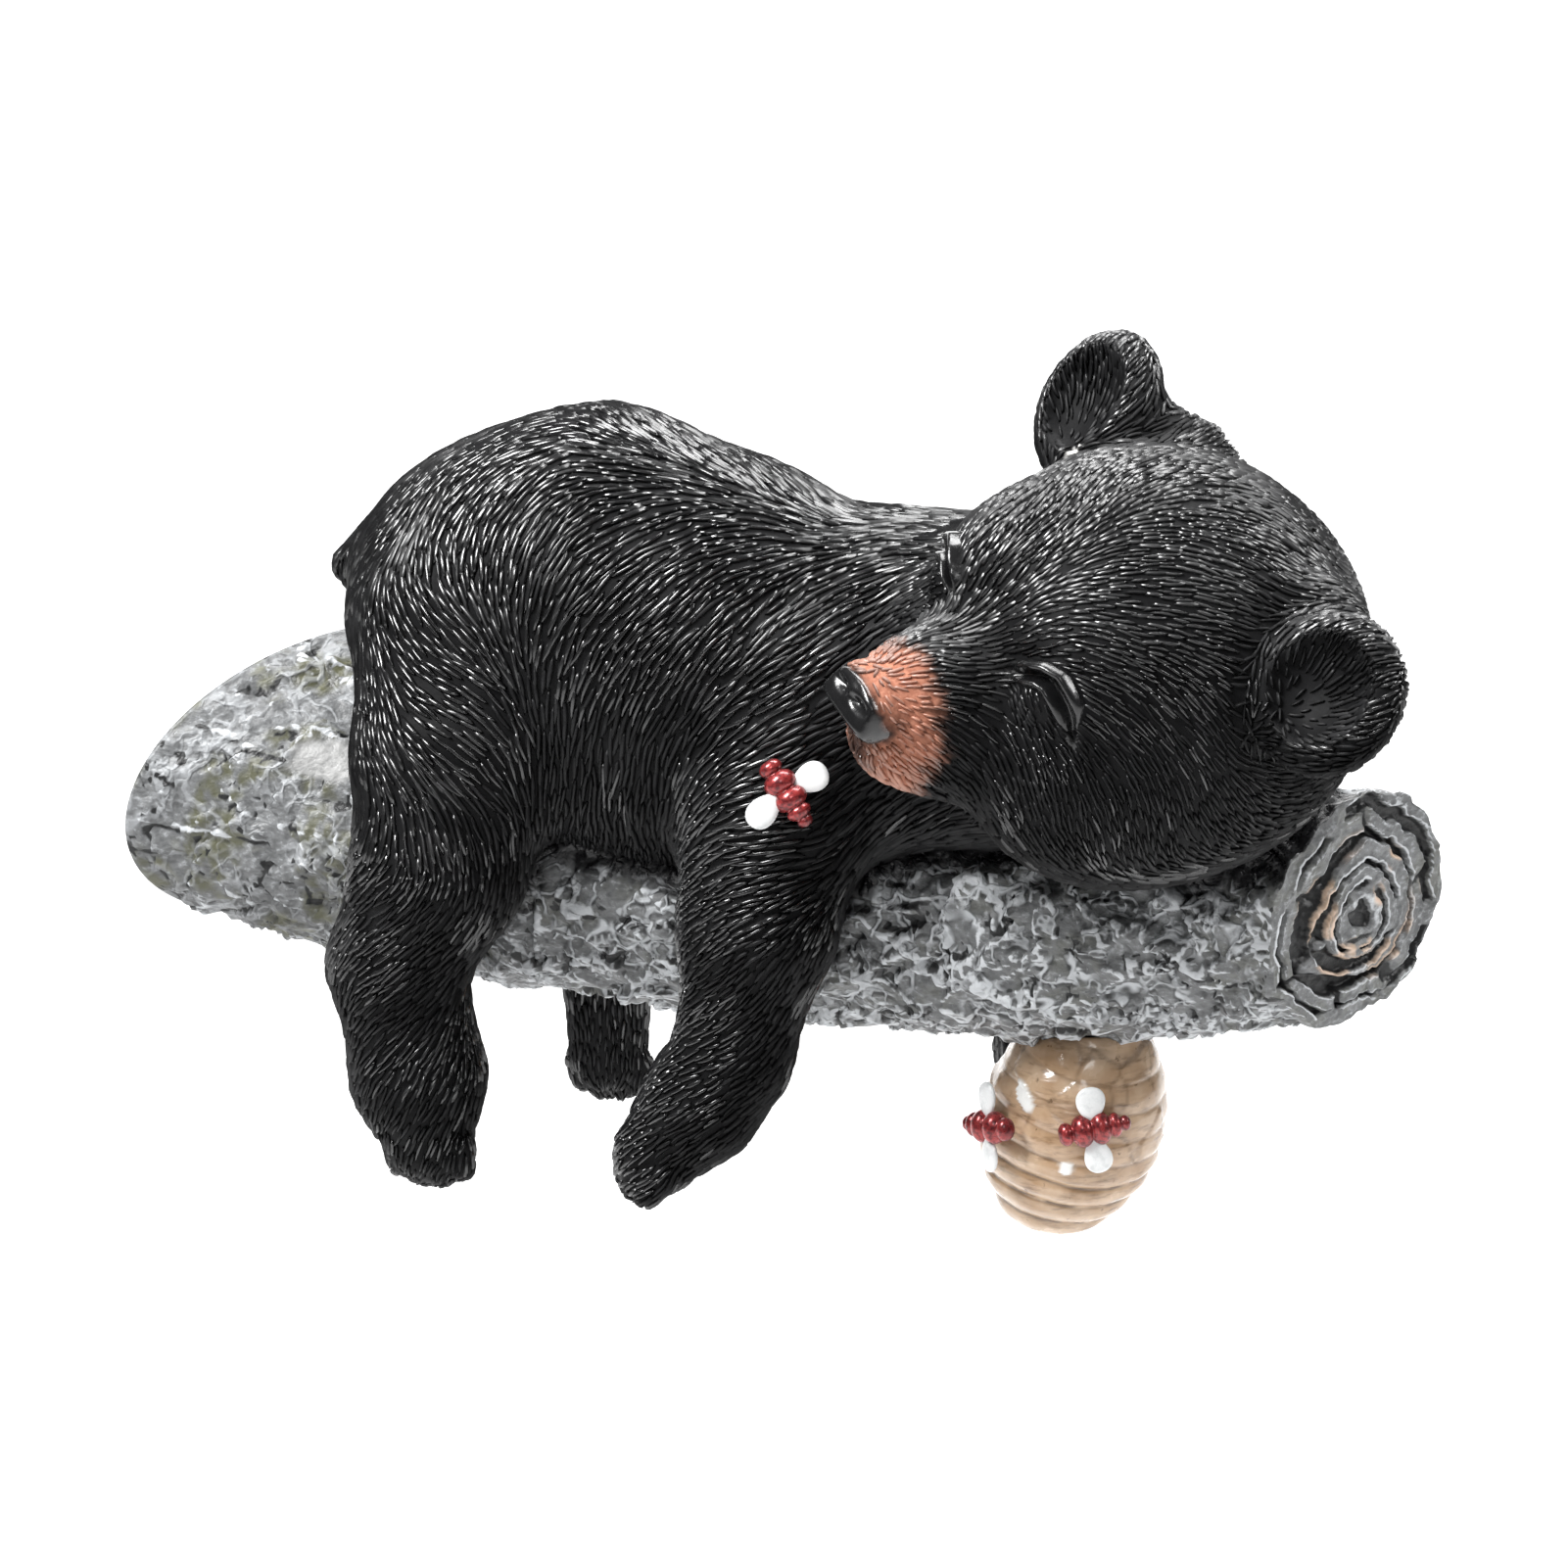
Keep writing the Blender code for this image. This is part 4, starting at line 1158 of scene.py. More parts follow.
# The lie of the fur as it was read off the photograph: pixels across and down,
# and the angle in degrees, anticlockwise from the right
READINGS = (
    (380, 560, 235), (370, 650, 268), (425, 500, 232), (440, 530, 250), (420, 560, 252),
    (480, 490, 225), (500, 460, 210), (540, 455, 200), (600, 450, 165), (620, 425, 145),
    (650, 460, 167), (560, 490, 215), (620, 490, 190), (660, 500, 180), (520, 520, 225),
    (480, 540, 240), (455, 570, 273), (475, 590, 283), (500, 590, 275), (520, 570, 255),
    (540, 560, 245), (560, 600, 242), (600, 560, 220), (640, 560, 220), (640, 540, 205),
    (620, 600, 228), (660, 610, 220), (600, 640, 235), (560, 660, 255), (640, 660, 232),
    (620, 700, 250), (570, 720, 265), (530, 700, 272), (500, 660, 293), (465, 650, 330),
    (475, 690, 335), (440, 700, 325), (400, 680, 300), (380, 700, 288), (480, 720, 338),
    (505, 710, 310), (430, 620, 318), (408, 620, 290), (380, 760, 280), (420, 760, 310),
    (450, 760, 320), (480, 770, 332), (490, 810, 318), (440, 800, 310), (470, 860, 305),
    (380, 840, 268), (430, 870, 278), (460, 880, 272), (480, 900, 258), (450, 930, 245),
    (400, 930, 222), (370, 900, 215), (430, 960, 205), (380, 960, 210), (470, 960, 240),
    (420, 1000, 200), (450, 1010, 220), (360, 990, 240), (400, 1040, 222), (430, 1050, 235),
    (400, 1100, 232), (440, 1110, 245), (540, 780, 270), (600, 800, 268), (640, 780, 264),
    (660, 800, 268), (600, 850, 268), (700, 820, 250), (700, 860, 230), (740, 790, 205),
    (760, 850, 185), (800, 855, 187), (840, 860, 205), (880, 850, 225), (910, 830, 230),
    (860, 800, 215), (900, 800, 215), (760, 900, 195), (700, 900, 220), (720, 940, 218),
    (800, 910, 200), (760, 940, 200), (700, 960, 230), (770, 980, 218), (730, 1000, 218),
    (790, 990, 235), (800, 1040, 245), (720, 1050, 205), (770, 1050, 225), (740, 1090, 205),
    (700, 1120, 205), (780, 1080, 220), (680, 1180, 222), (740, 1130, 210), (700, 460, 140),
    (760, 480, 135), (800, 490, 130), (840, 505, 140), (700, 490, 170), (760, 520, 170),
    (820, 530, 165), (720, 550, 188), (680, 560, 210), (780, 560, 185), (860, 550, 192),
    (700, 610, 225), (740, 620, 222), (760, 590, 210), (820, 590, 215), (880, 570, 200),
    (940, 560, 180), (820, 620, 222), (880, 610, 210), (920, 610, 218), (780, 660, 215),
    (840, 650, 218), (720, 660, 235), (680, 700, 245), (760, 710, 225), (820, 700, 213),
    (800, 740, 208), (840, 760, 208), (720, 740, 235), (700, 780, 250), (1000, 600, 60),
    (1010, 560, 55), (1040, 560, 45), (1080, 500, 52), (1120, 500, 45), (1180, 480, 20),
    (1240, 490, 355), (1290, 520, 335), (1200, 560, 350), (1240, 600, 345), (1290, 600, 325),
    (1160, 640, 345), (1120, 680, 330), (1160, 720, 320), (1200, 720, 315), (1240, 740, 300),
    (1200, 800, 285), (1120, 760, 315), (1080, 800, 285), (1040, 780, 285), (1000, 800, 305),
    (980, 760, 325), (980, 700, 355), (1000, 660, 5), (1040, 630, 25), (1040, 660, 5), (1100, 640, 5),
    (1140, 600, 0), (1090, 600, 15), (1120, 560, 30), (1060, 580, 50), (1160, 850, 275),
    (1240, 840, 285), (1100, 850, 278), (1320, 560, 320), (1010, 840, 300),
)
# Where a stroke's tips and ribs are along it, and each rib's share of the width and height
STROKE_STATIONS = (-1.0, -0.62, -0.15, 0.35, 0.74, 1.0)
STROKE_RIBS = ((0.80, 0.84), (1.0, 0.96), (0.94, 1.0), (0.62, 0.86))
STROKE_CORNERS = 14
STROKE_TRIANGLES = 24


def stroke_faces() -> np.ndarray:
    """Give the triangles of one closed stroke: a tip, four ribs of three corners, a tip."""
    faces = [(0, 3, 2), (0, 2, 1), (0, 1, 3)]
    for rib in range(3):
        left, top, right = rib * 3 + 1, rib * 3 + 2, rib * 3 + 3
        faces += [(right, right + 3, top + 3), (right, top + 3, top), (top, top + 3, left + 3)]
        faces += [(top, left + 3, left), (left, left + 3, right + 3), (left, right + 3, right)]
    faces += [(12, 13, 11), (11, 13, 10), (10, 13, 12)]
    return np.array(faces)


def stroke_undersides() -> np.ndarray:
    """Tell which of a stroke's triangles lie under it."""
    tip, span = [False, False, True], [False, False, False, False, True, True]
    return np.array(tip + span * 3 + tip)


class Region(Enum):
    """The parts of the coat that are carved one after another."""

    HEAD = "head"
    TRUNK = "trunk"
    LEGS = "legs"


@dataclass(frozen=True)
class Strokes:
    """How the strokes of one part of the coat are cut, in millimetres."""

    length: float
    width: float
    height: float
    apart_along: float
    apart_across: float


def picture_ways(turn_deg: float = -32.0, raise_deg: float = 20.0) -> Points:
    """Give the photograph's right, its up and the way back to the viewer, as rows in the room."""
    turn, lift = math.radians(turn_deg), math.radians(raise_deg)
    right = (math.cos(turn), math.sin(turn), 0.0)
    up = (-math.sin(lift) * math.sin(turn), math.sin(lift) * math.cos(turn), math.cos(lift))
    back = (math.sin(turn) * math.cos(lift), -math.cos(turn) * math.cos(lift), math.sin(lift))
    return np.array([right, up, back])


@dataclass(frozen=True)
class Sight:
    """Where the photograph was taken from, in millimetres, to follow what was read off it."""

    aim: Triple = (75.4, 0.0, 8.4)
    away: float = 900.0
    pixel: float = 0.15
    middle: float = 800.5
    depth: float = 110.0
    steps: int = 90

    def follow(self, field: Field) -> tuple[Points, Points]:
        """Turn the readings of the fur into ways on the object's skin.

        Args:
            field: Gives the distance to the skin.

        Returns:
            The places of the readings that meet the skin, and the way of the fur at each.
        """
        read = np.array(READINGS, dtype=float)
        right, up, back = picture_ways() @ AXES.T
        eye = np.asarray(self.aim) + back * self.away
        across = (read[:, :1] - self.middle) * self.pixel
        rise = (self.middle - read[:, 1:2]) * self.pixel
        ray = unit(across * right + rise * up - self.away * back)
        travel = np.full(len(read), self.away - self.depth)
        for _ in range(self.steps):
            travel = travel + 0.8 * field(eye + ray * travel[:, None])
        places = eye + ray * travel[:, None]
        met = (np.abs(field(places)) < 0.3) & (travel < self.away + self.depth)
        out = unit(downhill(field, places))
        angle = np.radians(read[:, 2:3])
        lie = np.cos(angle) * right + np.sin(angle) * up
        facing = np.minimum((ray * out).sum(axis=1), -0.25)
        way = unit(lie - ray * ((lie * out).sum(axis=1) / facing)[:, None])
        return places[met], way[met]


@dataclass(frozen=True)
class Bear:
    """The sleeping cub: its carved body, and the strokes of its coat."""

    head: Head
    branch: Branch
    sight: Sight
    net_step: float = 0.98
    quick_step: float = 1.6
    wall_room: float = 0.8
    sink: float = 0.42
    leg_top: float = 6.0
    comb_weight: float = 0.12
    reading_spread: float = 40.0
    neck_width: float = 5.0
    tries: int = 110000
    quick_tries: int = 20000
    pick_seed: int = 4127
    cut_seed: int = 911
    strokes_a_piece: int = 8200
    cuts: tuple[tuple[Region, Strokes], ...] = (
        (Region.HEAD, Strokes(4.0, 0.72, 0.21, 1.90, 0.63)),
        (Region.TRUNK, Strokes(6.5, 1.00, 0.31, 2.75, 0.87)),
        (Region.LEGS, Strokes(4.6, 0.81, 0.24, 2.15, 0.71)),
    )
    low: Triple = (-2.0, -66.0, -66.0)
    high: Triple = (196.0, 52.0, 96.0)

    def body_distance(self, points: Points) -> Values:
        """Give the distance to the trunk and legs."""
        distance = np.full(len(points), FAR)
        for roll in ROLLS:
            distance = blend(distance, roll.distance(points), roll.soft)
        for paw in PAWS:
            for toe in paw.toes():
                distance = blend(distance, toe.distance(points), toe.soft)
        return distance

    def distance(self, points: Points) -> Values:
        """Give the distance to the whole cub, before the branch is cut out of it."""
        distance = blend(self.body_distance(points), self.head.distance(points), 6.0)
        behind = self.wall_room + (points @ AXES)[:, 1]
        return carve(distance, -behind, 2.0)

    def lying(self, points: Points) -> Values:
        """Give the distance to the cub with the branch's place cut out of it."""
        return np.maximum(self.distance(points), 0.15 - self.branch.distance(points))

    def region(self, points: Points) -> np.ndarray:
        """Tell the part of the coat that each place is in, numbered as Region lists them."""
        on_head = self.head.distance(points) < self.body_distance(points)
        legs = (points[:, 2] < self.leg_top) & ~on_head
        return np.where(on_head, 0, np.where(legs, 2, 1))

    def combed(self, points: Points) -> Points:
        """Give the way that the fur lies at each place."""
        total = np.zeros_like(points)
        for comb in COMBING:
            offset = points - np.asarray(comb.place, dtype=float)
            weight = np.exp(-(offset * offset).sum(axis=1) / (2.0 * comb.reach ** 2))
            total += weight[:, None] * unit(np.asarray(comb.way, dtype=float))
        total += 1e-4 * np.array([-0.4, 0.0, -0.9])
        head_way, special = self.head.strokes_way(points)
        seen, seen_way = self.sight.follow(self.distance)
        on_head = self.region(seen) == 0
        read = {}
        for name, chosen in (("head", on_head), ("body", ~on_head)):
            read[name] = np.zeros_like(points)
            for place, lie in zip(seen[chosen], seen_way[chosen]):
                offset = points - place
                near = np.exp(-(offset * offset).sum(axis=1) / self.reading_spread)
                read[name] += near[:, None] * lie
        head_share = (self.body_distance(points) - self.head.distance(points)) / self.neck_width
        head_share = np.clip(0.5 + head_share, 0.0, 1.0)
        body_way = unit(self.comb_weight * unit(total) + read["body"])
        head_way = unit(head_way * (0.18 + 3.0 * special)[:, None] + read["head"])
        return unit(body_way * (1.0 - head_share)[:, None] + head_way * head_share[:, None])

    def carved_body(self) -> tuple[bpy.types.Mesh, Points, Points]:
        """Make the body's mesh, with finer faces on the face.

        Returns:
            A mesh of triangles whose corners are still to be set, their places in the
            turned frame, and the way out at each.
        """
        step = self.net_step
        corners, quads = surface_net(self.lying, self.low, self.high, step)
        mesh = bpy.data.meshes.new("bear_net")
        mesh.from_pydata(corners.tolist(), [], quads.tolist())
        shape = bmesh.new()
        shape.from_mesh(mesh)
        for reach in (1.0, 0.55):
            shape.verts.ensure_lookup_table()
            places = np.array([corner.co for corner in shape.verts])
            local = self.head.local(places)
            fine = np.linalg.norm(local - np.asarray(self.head.nose), axis=1) < 10.5 * reach ** 0.5
            for side in BOTH_SIDES:
                seen = self.head.in_lid(local, side)
                close = np.hypot(seen[:, 0], seen[:, 1]) < 8.0 * reach ** 0.4
                fine |= close & self.head.by_lid(seen)
            edges = [edge for edge in shape.edges if all(fine[end.index] for end in edge.verts)]
            if edges:
                bmesh.ops.subdivide_edges(shape, edges=edges, cuts=1, use_grid_fill=True)
        bmesh.ops.triangulate(shape, faces=shape.faces)
        shape.to_mesh(mesh)
        shape.free()
        flat = np.empty(len(mesh.vertices) * 3, dtype=np.float32)
        mesh.vertices.foreach_get("co", flat)
        places, ways = settle(self.lying, flat.reshape(-1, 3).astype(float), 2)
        return mesh, places, ways

    def fleck_share(self, points: Points) -> Values:
        """Give the small marks of stray white paint: by the far ear and on a hind toe."""
        local = self.head.local(points)
        seen = self.head.in_ear(local, -1.0)
        hook = np.minimum(np.hypot(seen[:, 1] - 3.7, (seen[:, 2] + 7.2) / 1.5),
                          np.hypot((seen[:, 1] - 2.8) / 1.4, seen[:, 2] + 8.0))
        ear = hump(hook, 0.0, 1.05) * (seen[:, 0] > 0.0)
        toe = (points - np.array([33.4, -36.0, -51.0])) / np.array([1.7, 2.0, 1.0])
        toe = np.linalg.norm(toe, axis=1)
        return np.clip(ear * 1.6 - 0.5, 0.0, 1.0) + smooth_step(1.25, 0.8, toe)

    def shade_dulled_share(self, points: Points, ways: Points) -> Values:
        """Give how many strokes take the less shiny paint at each place, as painted shade: most in
        hollows and on what faces down, in random patches.
        """
        reach = 11.0
        beyond = points + ways * reach
        room = np.minimum(self.distance(beyond), self.branch.distance(beyond)) / reach
        closed = smooth_step(0.97, 0.50, room)
        down = smooth_step(0.35, -0.20, ways[:, 2])
        share = 0.03 + 0.90 * closed + 0.66 * down + 0.42 * cloud(points, 6.5, 46)
        return smooth_step(0.22, 0.68, share) * (self.head.tan_share(points) < 0.3)

    def measures(self, points: Points) -> dict[str, Values]:
        """Give the numbers that the fur paint reads at each place."""
        return {"tan": self.head.tan_share(points), "fleck": self.fleck_share(points)}

    def build_body(self, paint: FurPaint) -> tuple[Item, Points, Points, np.ndarray]:
        """Make the body.

        Args:
            paint: The fur's finish.

        Returns:
            The body's object, its corners before the fine carving, the way out at each,
            and its triangles.
        """
        mesh, places, ways = self.carved_body()
        triangles = np.empty(len(mesh.polygons) * 3, dtype=np.int32)
        mesh.polygons.foreach_get("vertices", triangles)
        triangles = triangles.reshape(-1, 3)
        open_air = smooth_step(0.2, 1.2, self.branch.distance(places))
        sunk = self.head.sunk_share(places)
        lumps = 0.05 * cloud(places, 2.6, 11) - self.sink
        height = self.head.relief(places) + lumps * sunk
        shaped = places + ways * (height * open_air)[:, None]
        smooth = (1.0 - sunk)[triangles].mean(axis=1) > 0.4
        materials = [paint.material("black_fur_grooves", Coat.GROOVES),
                     paint.material("black_gloss", Coat.SMOOTH)]
        item = mesh_object("bear_body", shaped, [triangles], materials, self.measures(places),
                           smooth.astype(int))
        bpy.data.meshes.remove(mesh)
        return item, places, ways, triangles

    def stroke_places(self, places: Points, ways: Points, triangles: np.ndarray) -> tuple[Points, Points]:
        """Pick where strokes may go, many more than are kept.

        Args:
            places: The body's corners.
            ways: The way out at each.
            triangles: The body's triangles.

        Returns:
            Places on the body, and the way out at each.
        """
        rng = np.random.default_rng(self.pick_seed)
        corner = places[triangles]
        square = np.cross(corner[:, 1] - corner[:, 0], corner[:, 2] - corner[:, 0])
        total = np.cumsum(np.linalg.norm(square, axis=1))
        number = self.tries
        pick = np.searchsorted(total, rng.random(number) * total[-1])
        root = np.sqrt(rng.random(number))
        other = rng.random(number)
        weights = np.column_stack([1.0 - root, root * (1.0 - other), root * other])
        point = (corner[pick] * weights[:, :, None]).sum(axis=1)
        way = unit((ways[triangles[pick]] * weights[:, :, None]).sum(axis=1))
        local = self.head.local(point)
        free = (self.branch.distance(point) > 0.75) & (self.head.pad(local) > 0.16)
        free &= (point @ AXES)[:, 1] < -1.2
        for side in BOTH_SIDES:
            seen = self.head.in_lid(local, side)
            free &= (self.head.fold_share(seen) < 0.3) | ~self.head.by_lid(seen)
            free &= 0.7 * self.head.canal_share(local, side) < rng.random(number)
        return point[free], way[free]

    def thin_out(self, points: Points, ways: Points, cut: Strokes) -> np.ndarray:
        """Keep places that aren't crowded, with more room along the fur than across it.

        Args:
            points: Places on the body.
            ways: The way that the fur lies at each.
            cut: How far apart strokes are.

        Returns:
            The numbers of the places that are kept.
        """
        size = cut.apart_along
        along_scale = 1.0 / cut.apart_along ** 2
        across_scale = 1.0 / cut.apart_across ** 2
        rows = points.tolist()
        combed = ways.tolist()
        cells = np.floor(points / size).astype(int).tolist()
        filled: dict[tuple[int, int, int], list[list[float]]] = {}
        kept = []
        around = [(x, y, z) for x in (0, -1, 1) for y in (0, -1, 1) for z in (0, -1, 1)]
        for index, (x, y, z) in enumerate(rows):
            way_x, way_y, way_z = combed[index]
            cell_x, cell_y, cell_z = cells[index]
            crowded = False
            for step_x, step_y, step_z in around:
                beside = (cell_x + step_x, cell_y + step_y, cell_z + step_z)
                for other_x, other_y, other_z in filled.get(beside, ()):
                    off_x, off_y, off_z = x - other_x, y - other_y, z - other_z
                    along = off_x * way_x + off_y * way_y + off_z * way_z
                    square = off_x * off_x + off_y * off_y + off_z * off_z
                    if along * along * along_scale + (square - along * along) * across_scale < 1.0:
                        crowded = True
                        break
                if crowded:
                    break
            if not crowded:
                filled.setdefault((cell_x, cell_y, cell_z), []).append([x, y, z])
                kept.append(index)
        return np.array(kept, dtype=int)

    def build_coat(self, paint: FurPaint, places: Points, ways: Points,
                   triangles: np.ndarray) -> list[Item]:
        """Cut the strokes of the coat, each a closed ridge that is sunk into the body.

        Args:
            paint: The fur's finish.
            places: The body's corners.
            ways: The way out at each.
            triangles: The body's triangles.

        Returns:
            One piece per region.
        """
        # The second paint is a less shiny copy of the first, for painted shade.
        materials = [paint.material("black_fur_strokes", Coat.STROKES),
                     paint.material("black_fur_shade_dulled", Coat.SHADE_DULLED)]
        point, out = self.stroke_places(places, ways, triangles)
        rng = np.random.default_rng(self.cut_seed)
        way = self.combed(point)
        side = np.cross(out, way)
        swirl = 0.12 * cloud(point, 6.0, 21) + 0.10 * cloud(point, 2.6, 22)
        swirl = swirl + rng.normal(0.0, 0.06, len(point))
        way = unit(way + side * swirl[:, None])
        way = unit(way - out * (way * out).sum(axis=1)[:, None])
        region = self.region(point)
        made = []
        for number, (name, cut) in enumerate(self.cuts):
            chosen = np.flatnonzero(region == number)
            chosen = chosen[self.thin_out(point[chosen], way[chosen], cut)][:self.strokes_a_piece]
            item = self.ridge_piece("bear_fur_" + name.value, point[chosen], way[chosen], cut,
                                    materials, rng)
            LOG.info("%s: %d strokes", item.name, len(chosen))
            made.append(item)
        return made

    def ridge_piece(self, name: str, point: Points, way: Points, cut: Strokes,
                    materials: list[Material], rng: np.random.Generator) -> Item:
        """Make one piece of the coat.

        Args:
            name: The piece's name.
            point: The middle of each stroke.
            way: The way that each stroke runs.
            cut: How the strokes are cut.
            materials: Their paint: the shiny one, and the less shiny one that paints shade.
            rng: Gives each stroke its own size.

        Returns:
            The piece.
        """
        count = len(point)
        local = self.head.local(point)
        small = np.ones(count)
        for side in BOTH_SIDES:
            seen = self.head.in_lid(local, side)
            on_lid = np.hypot(seen[:, 0] - 0.4, seen[:, 1] + 0.4) < 5.0
            small = np.where(on_lid & self.head.by_lid(seen), 0.66, small)
            small = small * (1.0 - 0.45 * self.head.canal_share(local, side))
        near_pad = smooth_step(1.6, 0.3, self.head.pad(local)) * smooth_step(34.0, 40.0, local[:, 0])
        small = small * (1.0 - 0.42 * near_pad)
        paw = smooth_step(-40.0, -48.0, point[:, 2])
        small = small * (1.0 - 0.25 * paw)
        length = cut.length * small * rng.uniform(0.70, 1.25, count)
        width = cut.width * (0.35 + 0.65 * small) * rng.uniform(0.85, 1.2, count)
        height = cut.height + rng.uniform(-0.13, 0.13, count) - 0.12 * (1.0 - small) - 0.10 * paw
        bend = rng.uniform(-0.07, 0.07, count) * length
        stations = np.array(STROKE_STATIONS)
        side_way = unit(np.cross(downhill(self.distance, point), way))
        run = (stations[None] * 0.5 * length[:, None])[..., None] * way[:, None]
        curve = ((stations ** 2 - 0.4)[None] * bend[:, None])[..., None] * side_way[:, None]
        centre, out = settle(self.distance, (point[:, None] + run + curve).reshape(-1, 3), 1)
        lift = self.head.relief(centre) * (self.head.sunk_share(centre) > 0.99)
        centre = (centre + out * np.clip(lift, -0.5, 0.6)[:, None]).reshape(count, len(stations), 3)
        out = out.reshape(count, len(stations), 3)
        across = unit(np.cross(out, way[:, None]))
        half = (width * 0.5)[:, None]
        roll = across * (half * rng.uniform(-0.5, 0.5, count)[:, None])[:, None]
        corners = np.empty((count, STROKE_CORNERS, 3))
        corners[:, 0] = centre[:, 0] - out[:, 0] * 0.44
        for station, (wide, rise) in enumerate(STROKE_RIBS, 1):
            foot = centre[:, station] - out[:, station] * 0.50
            apart = across[:, station] * half * wide
            top = -self.sink + (self.sink + height) * rise
            peak = centre[:, station] + out[:, station] * top[:, None] + roll[:, station]
            rib = np.stack([foot + apart, peak, foot - apart], axis=1)
            corners[:, station * 3 - 2:station * 3 + 1] = rib
        corners[:, -1] = centre[:, -1] - out[:, -1] * 0.22
        starts = np.arange(count)[:, None, None] * STROKE_CORNERS
        faces = (starts + stroke_faces()[None]).reshape(-1, 3)
        measures = self.measures(corners.reshape(-1, 3))
        turn = rng.uniform(-0.4, 0.4, count)[:, None]
        line = np.array([0.0] + [1.0, 0.0, -1.0] * 4 + [0.0])
        measures["across"] = (line[None] + turn).ravel()
        measures["deep"] = np.tile(np.abs(line), count)
        # Head strokes that face up carry the painted sheen, in random patches.
        upward = smooth_step(0.25, 0.75, out[:, 2, 2]) * (self.region(point) == 0)
        top_sheen_and_coil_depth = upward * (0.6 + 0.4 * cloud(point, 5.0, 47))
        measures["top_sheen_and_coil_depth"] = np.repeat(top_sheen_and_coil_depth, STROKE_CORNERS)
        # Strokes in hollows and facing down take the less shiny paint: painted shade, in random patches.
        shade_dulled = self.shade_dulled_share(point, out[:, 2]) > rng.random(count)
        return mesh_object(name, corners.reshape(-1, 3), [faces], materials, measures,
                           np.repeat(shade_dulled, STROKE_TRIANGLES), np.tile(stroke_undersides(), count))


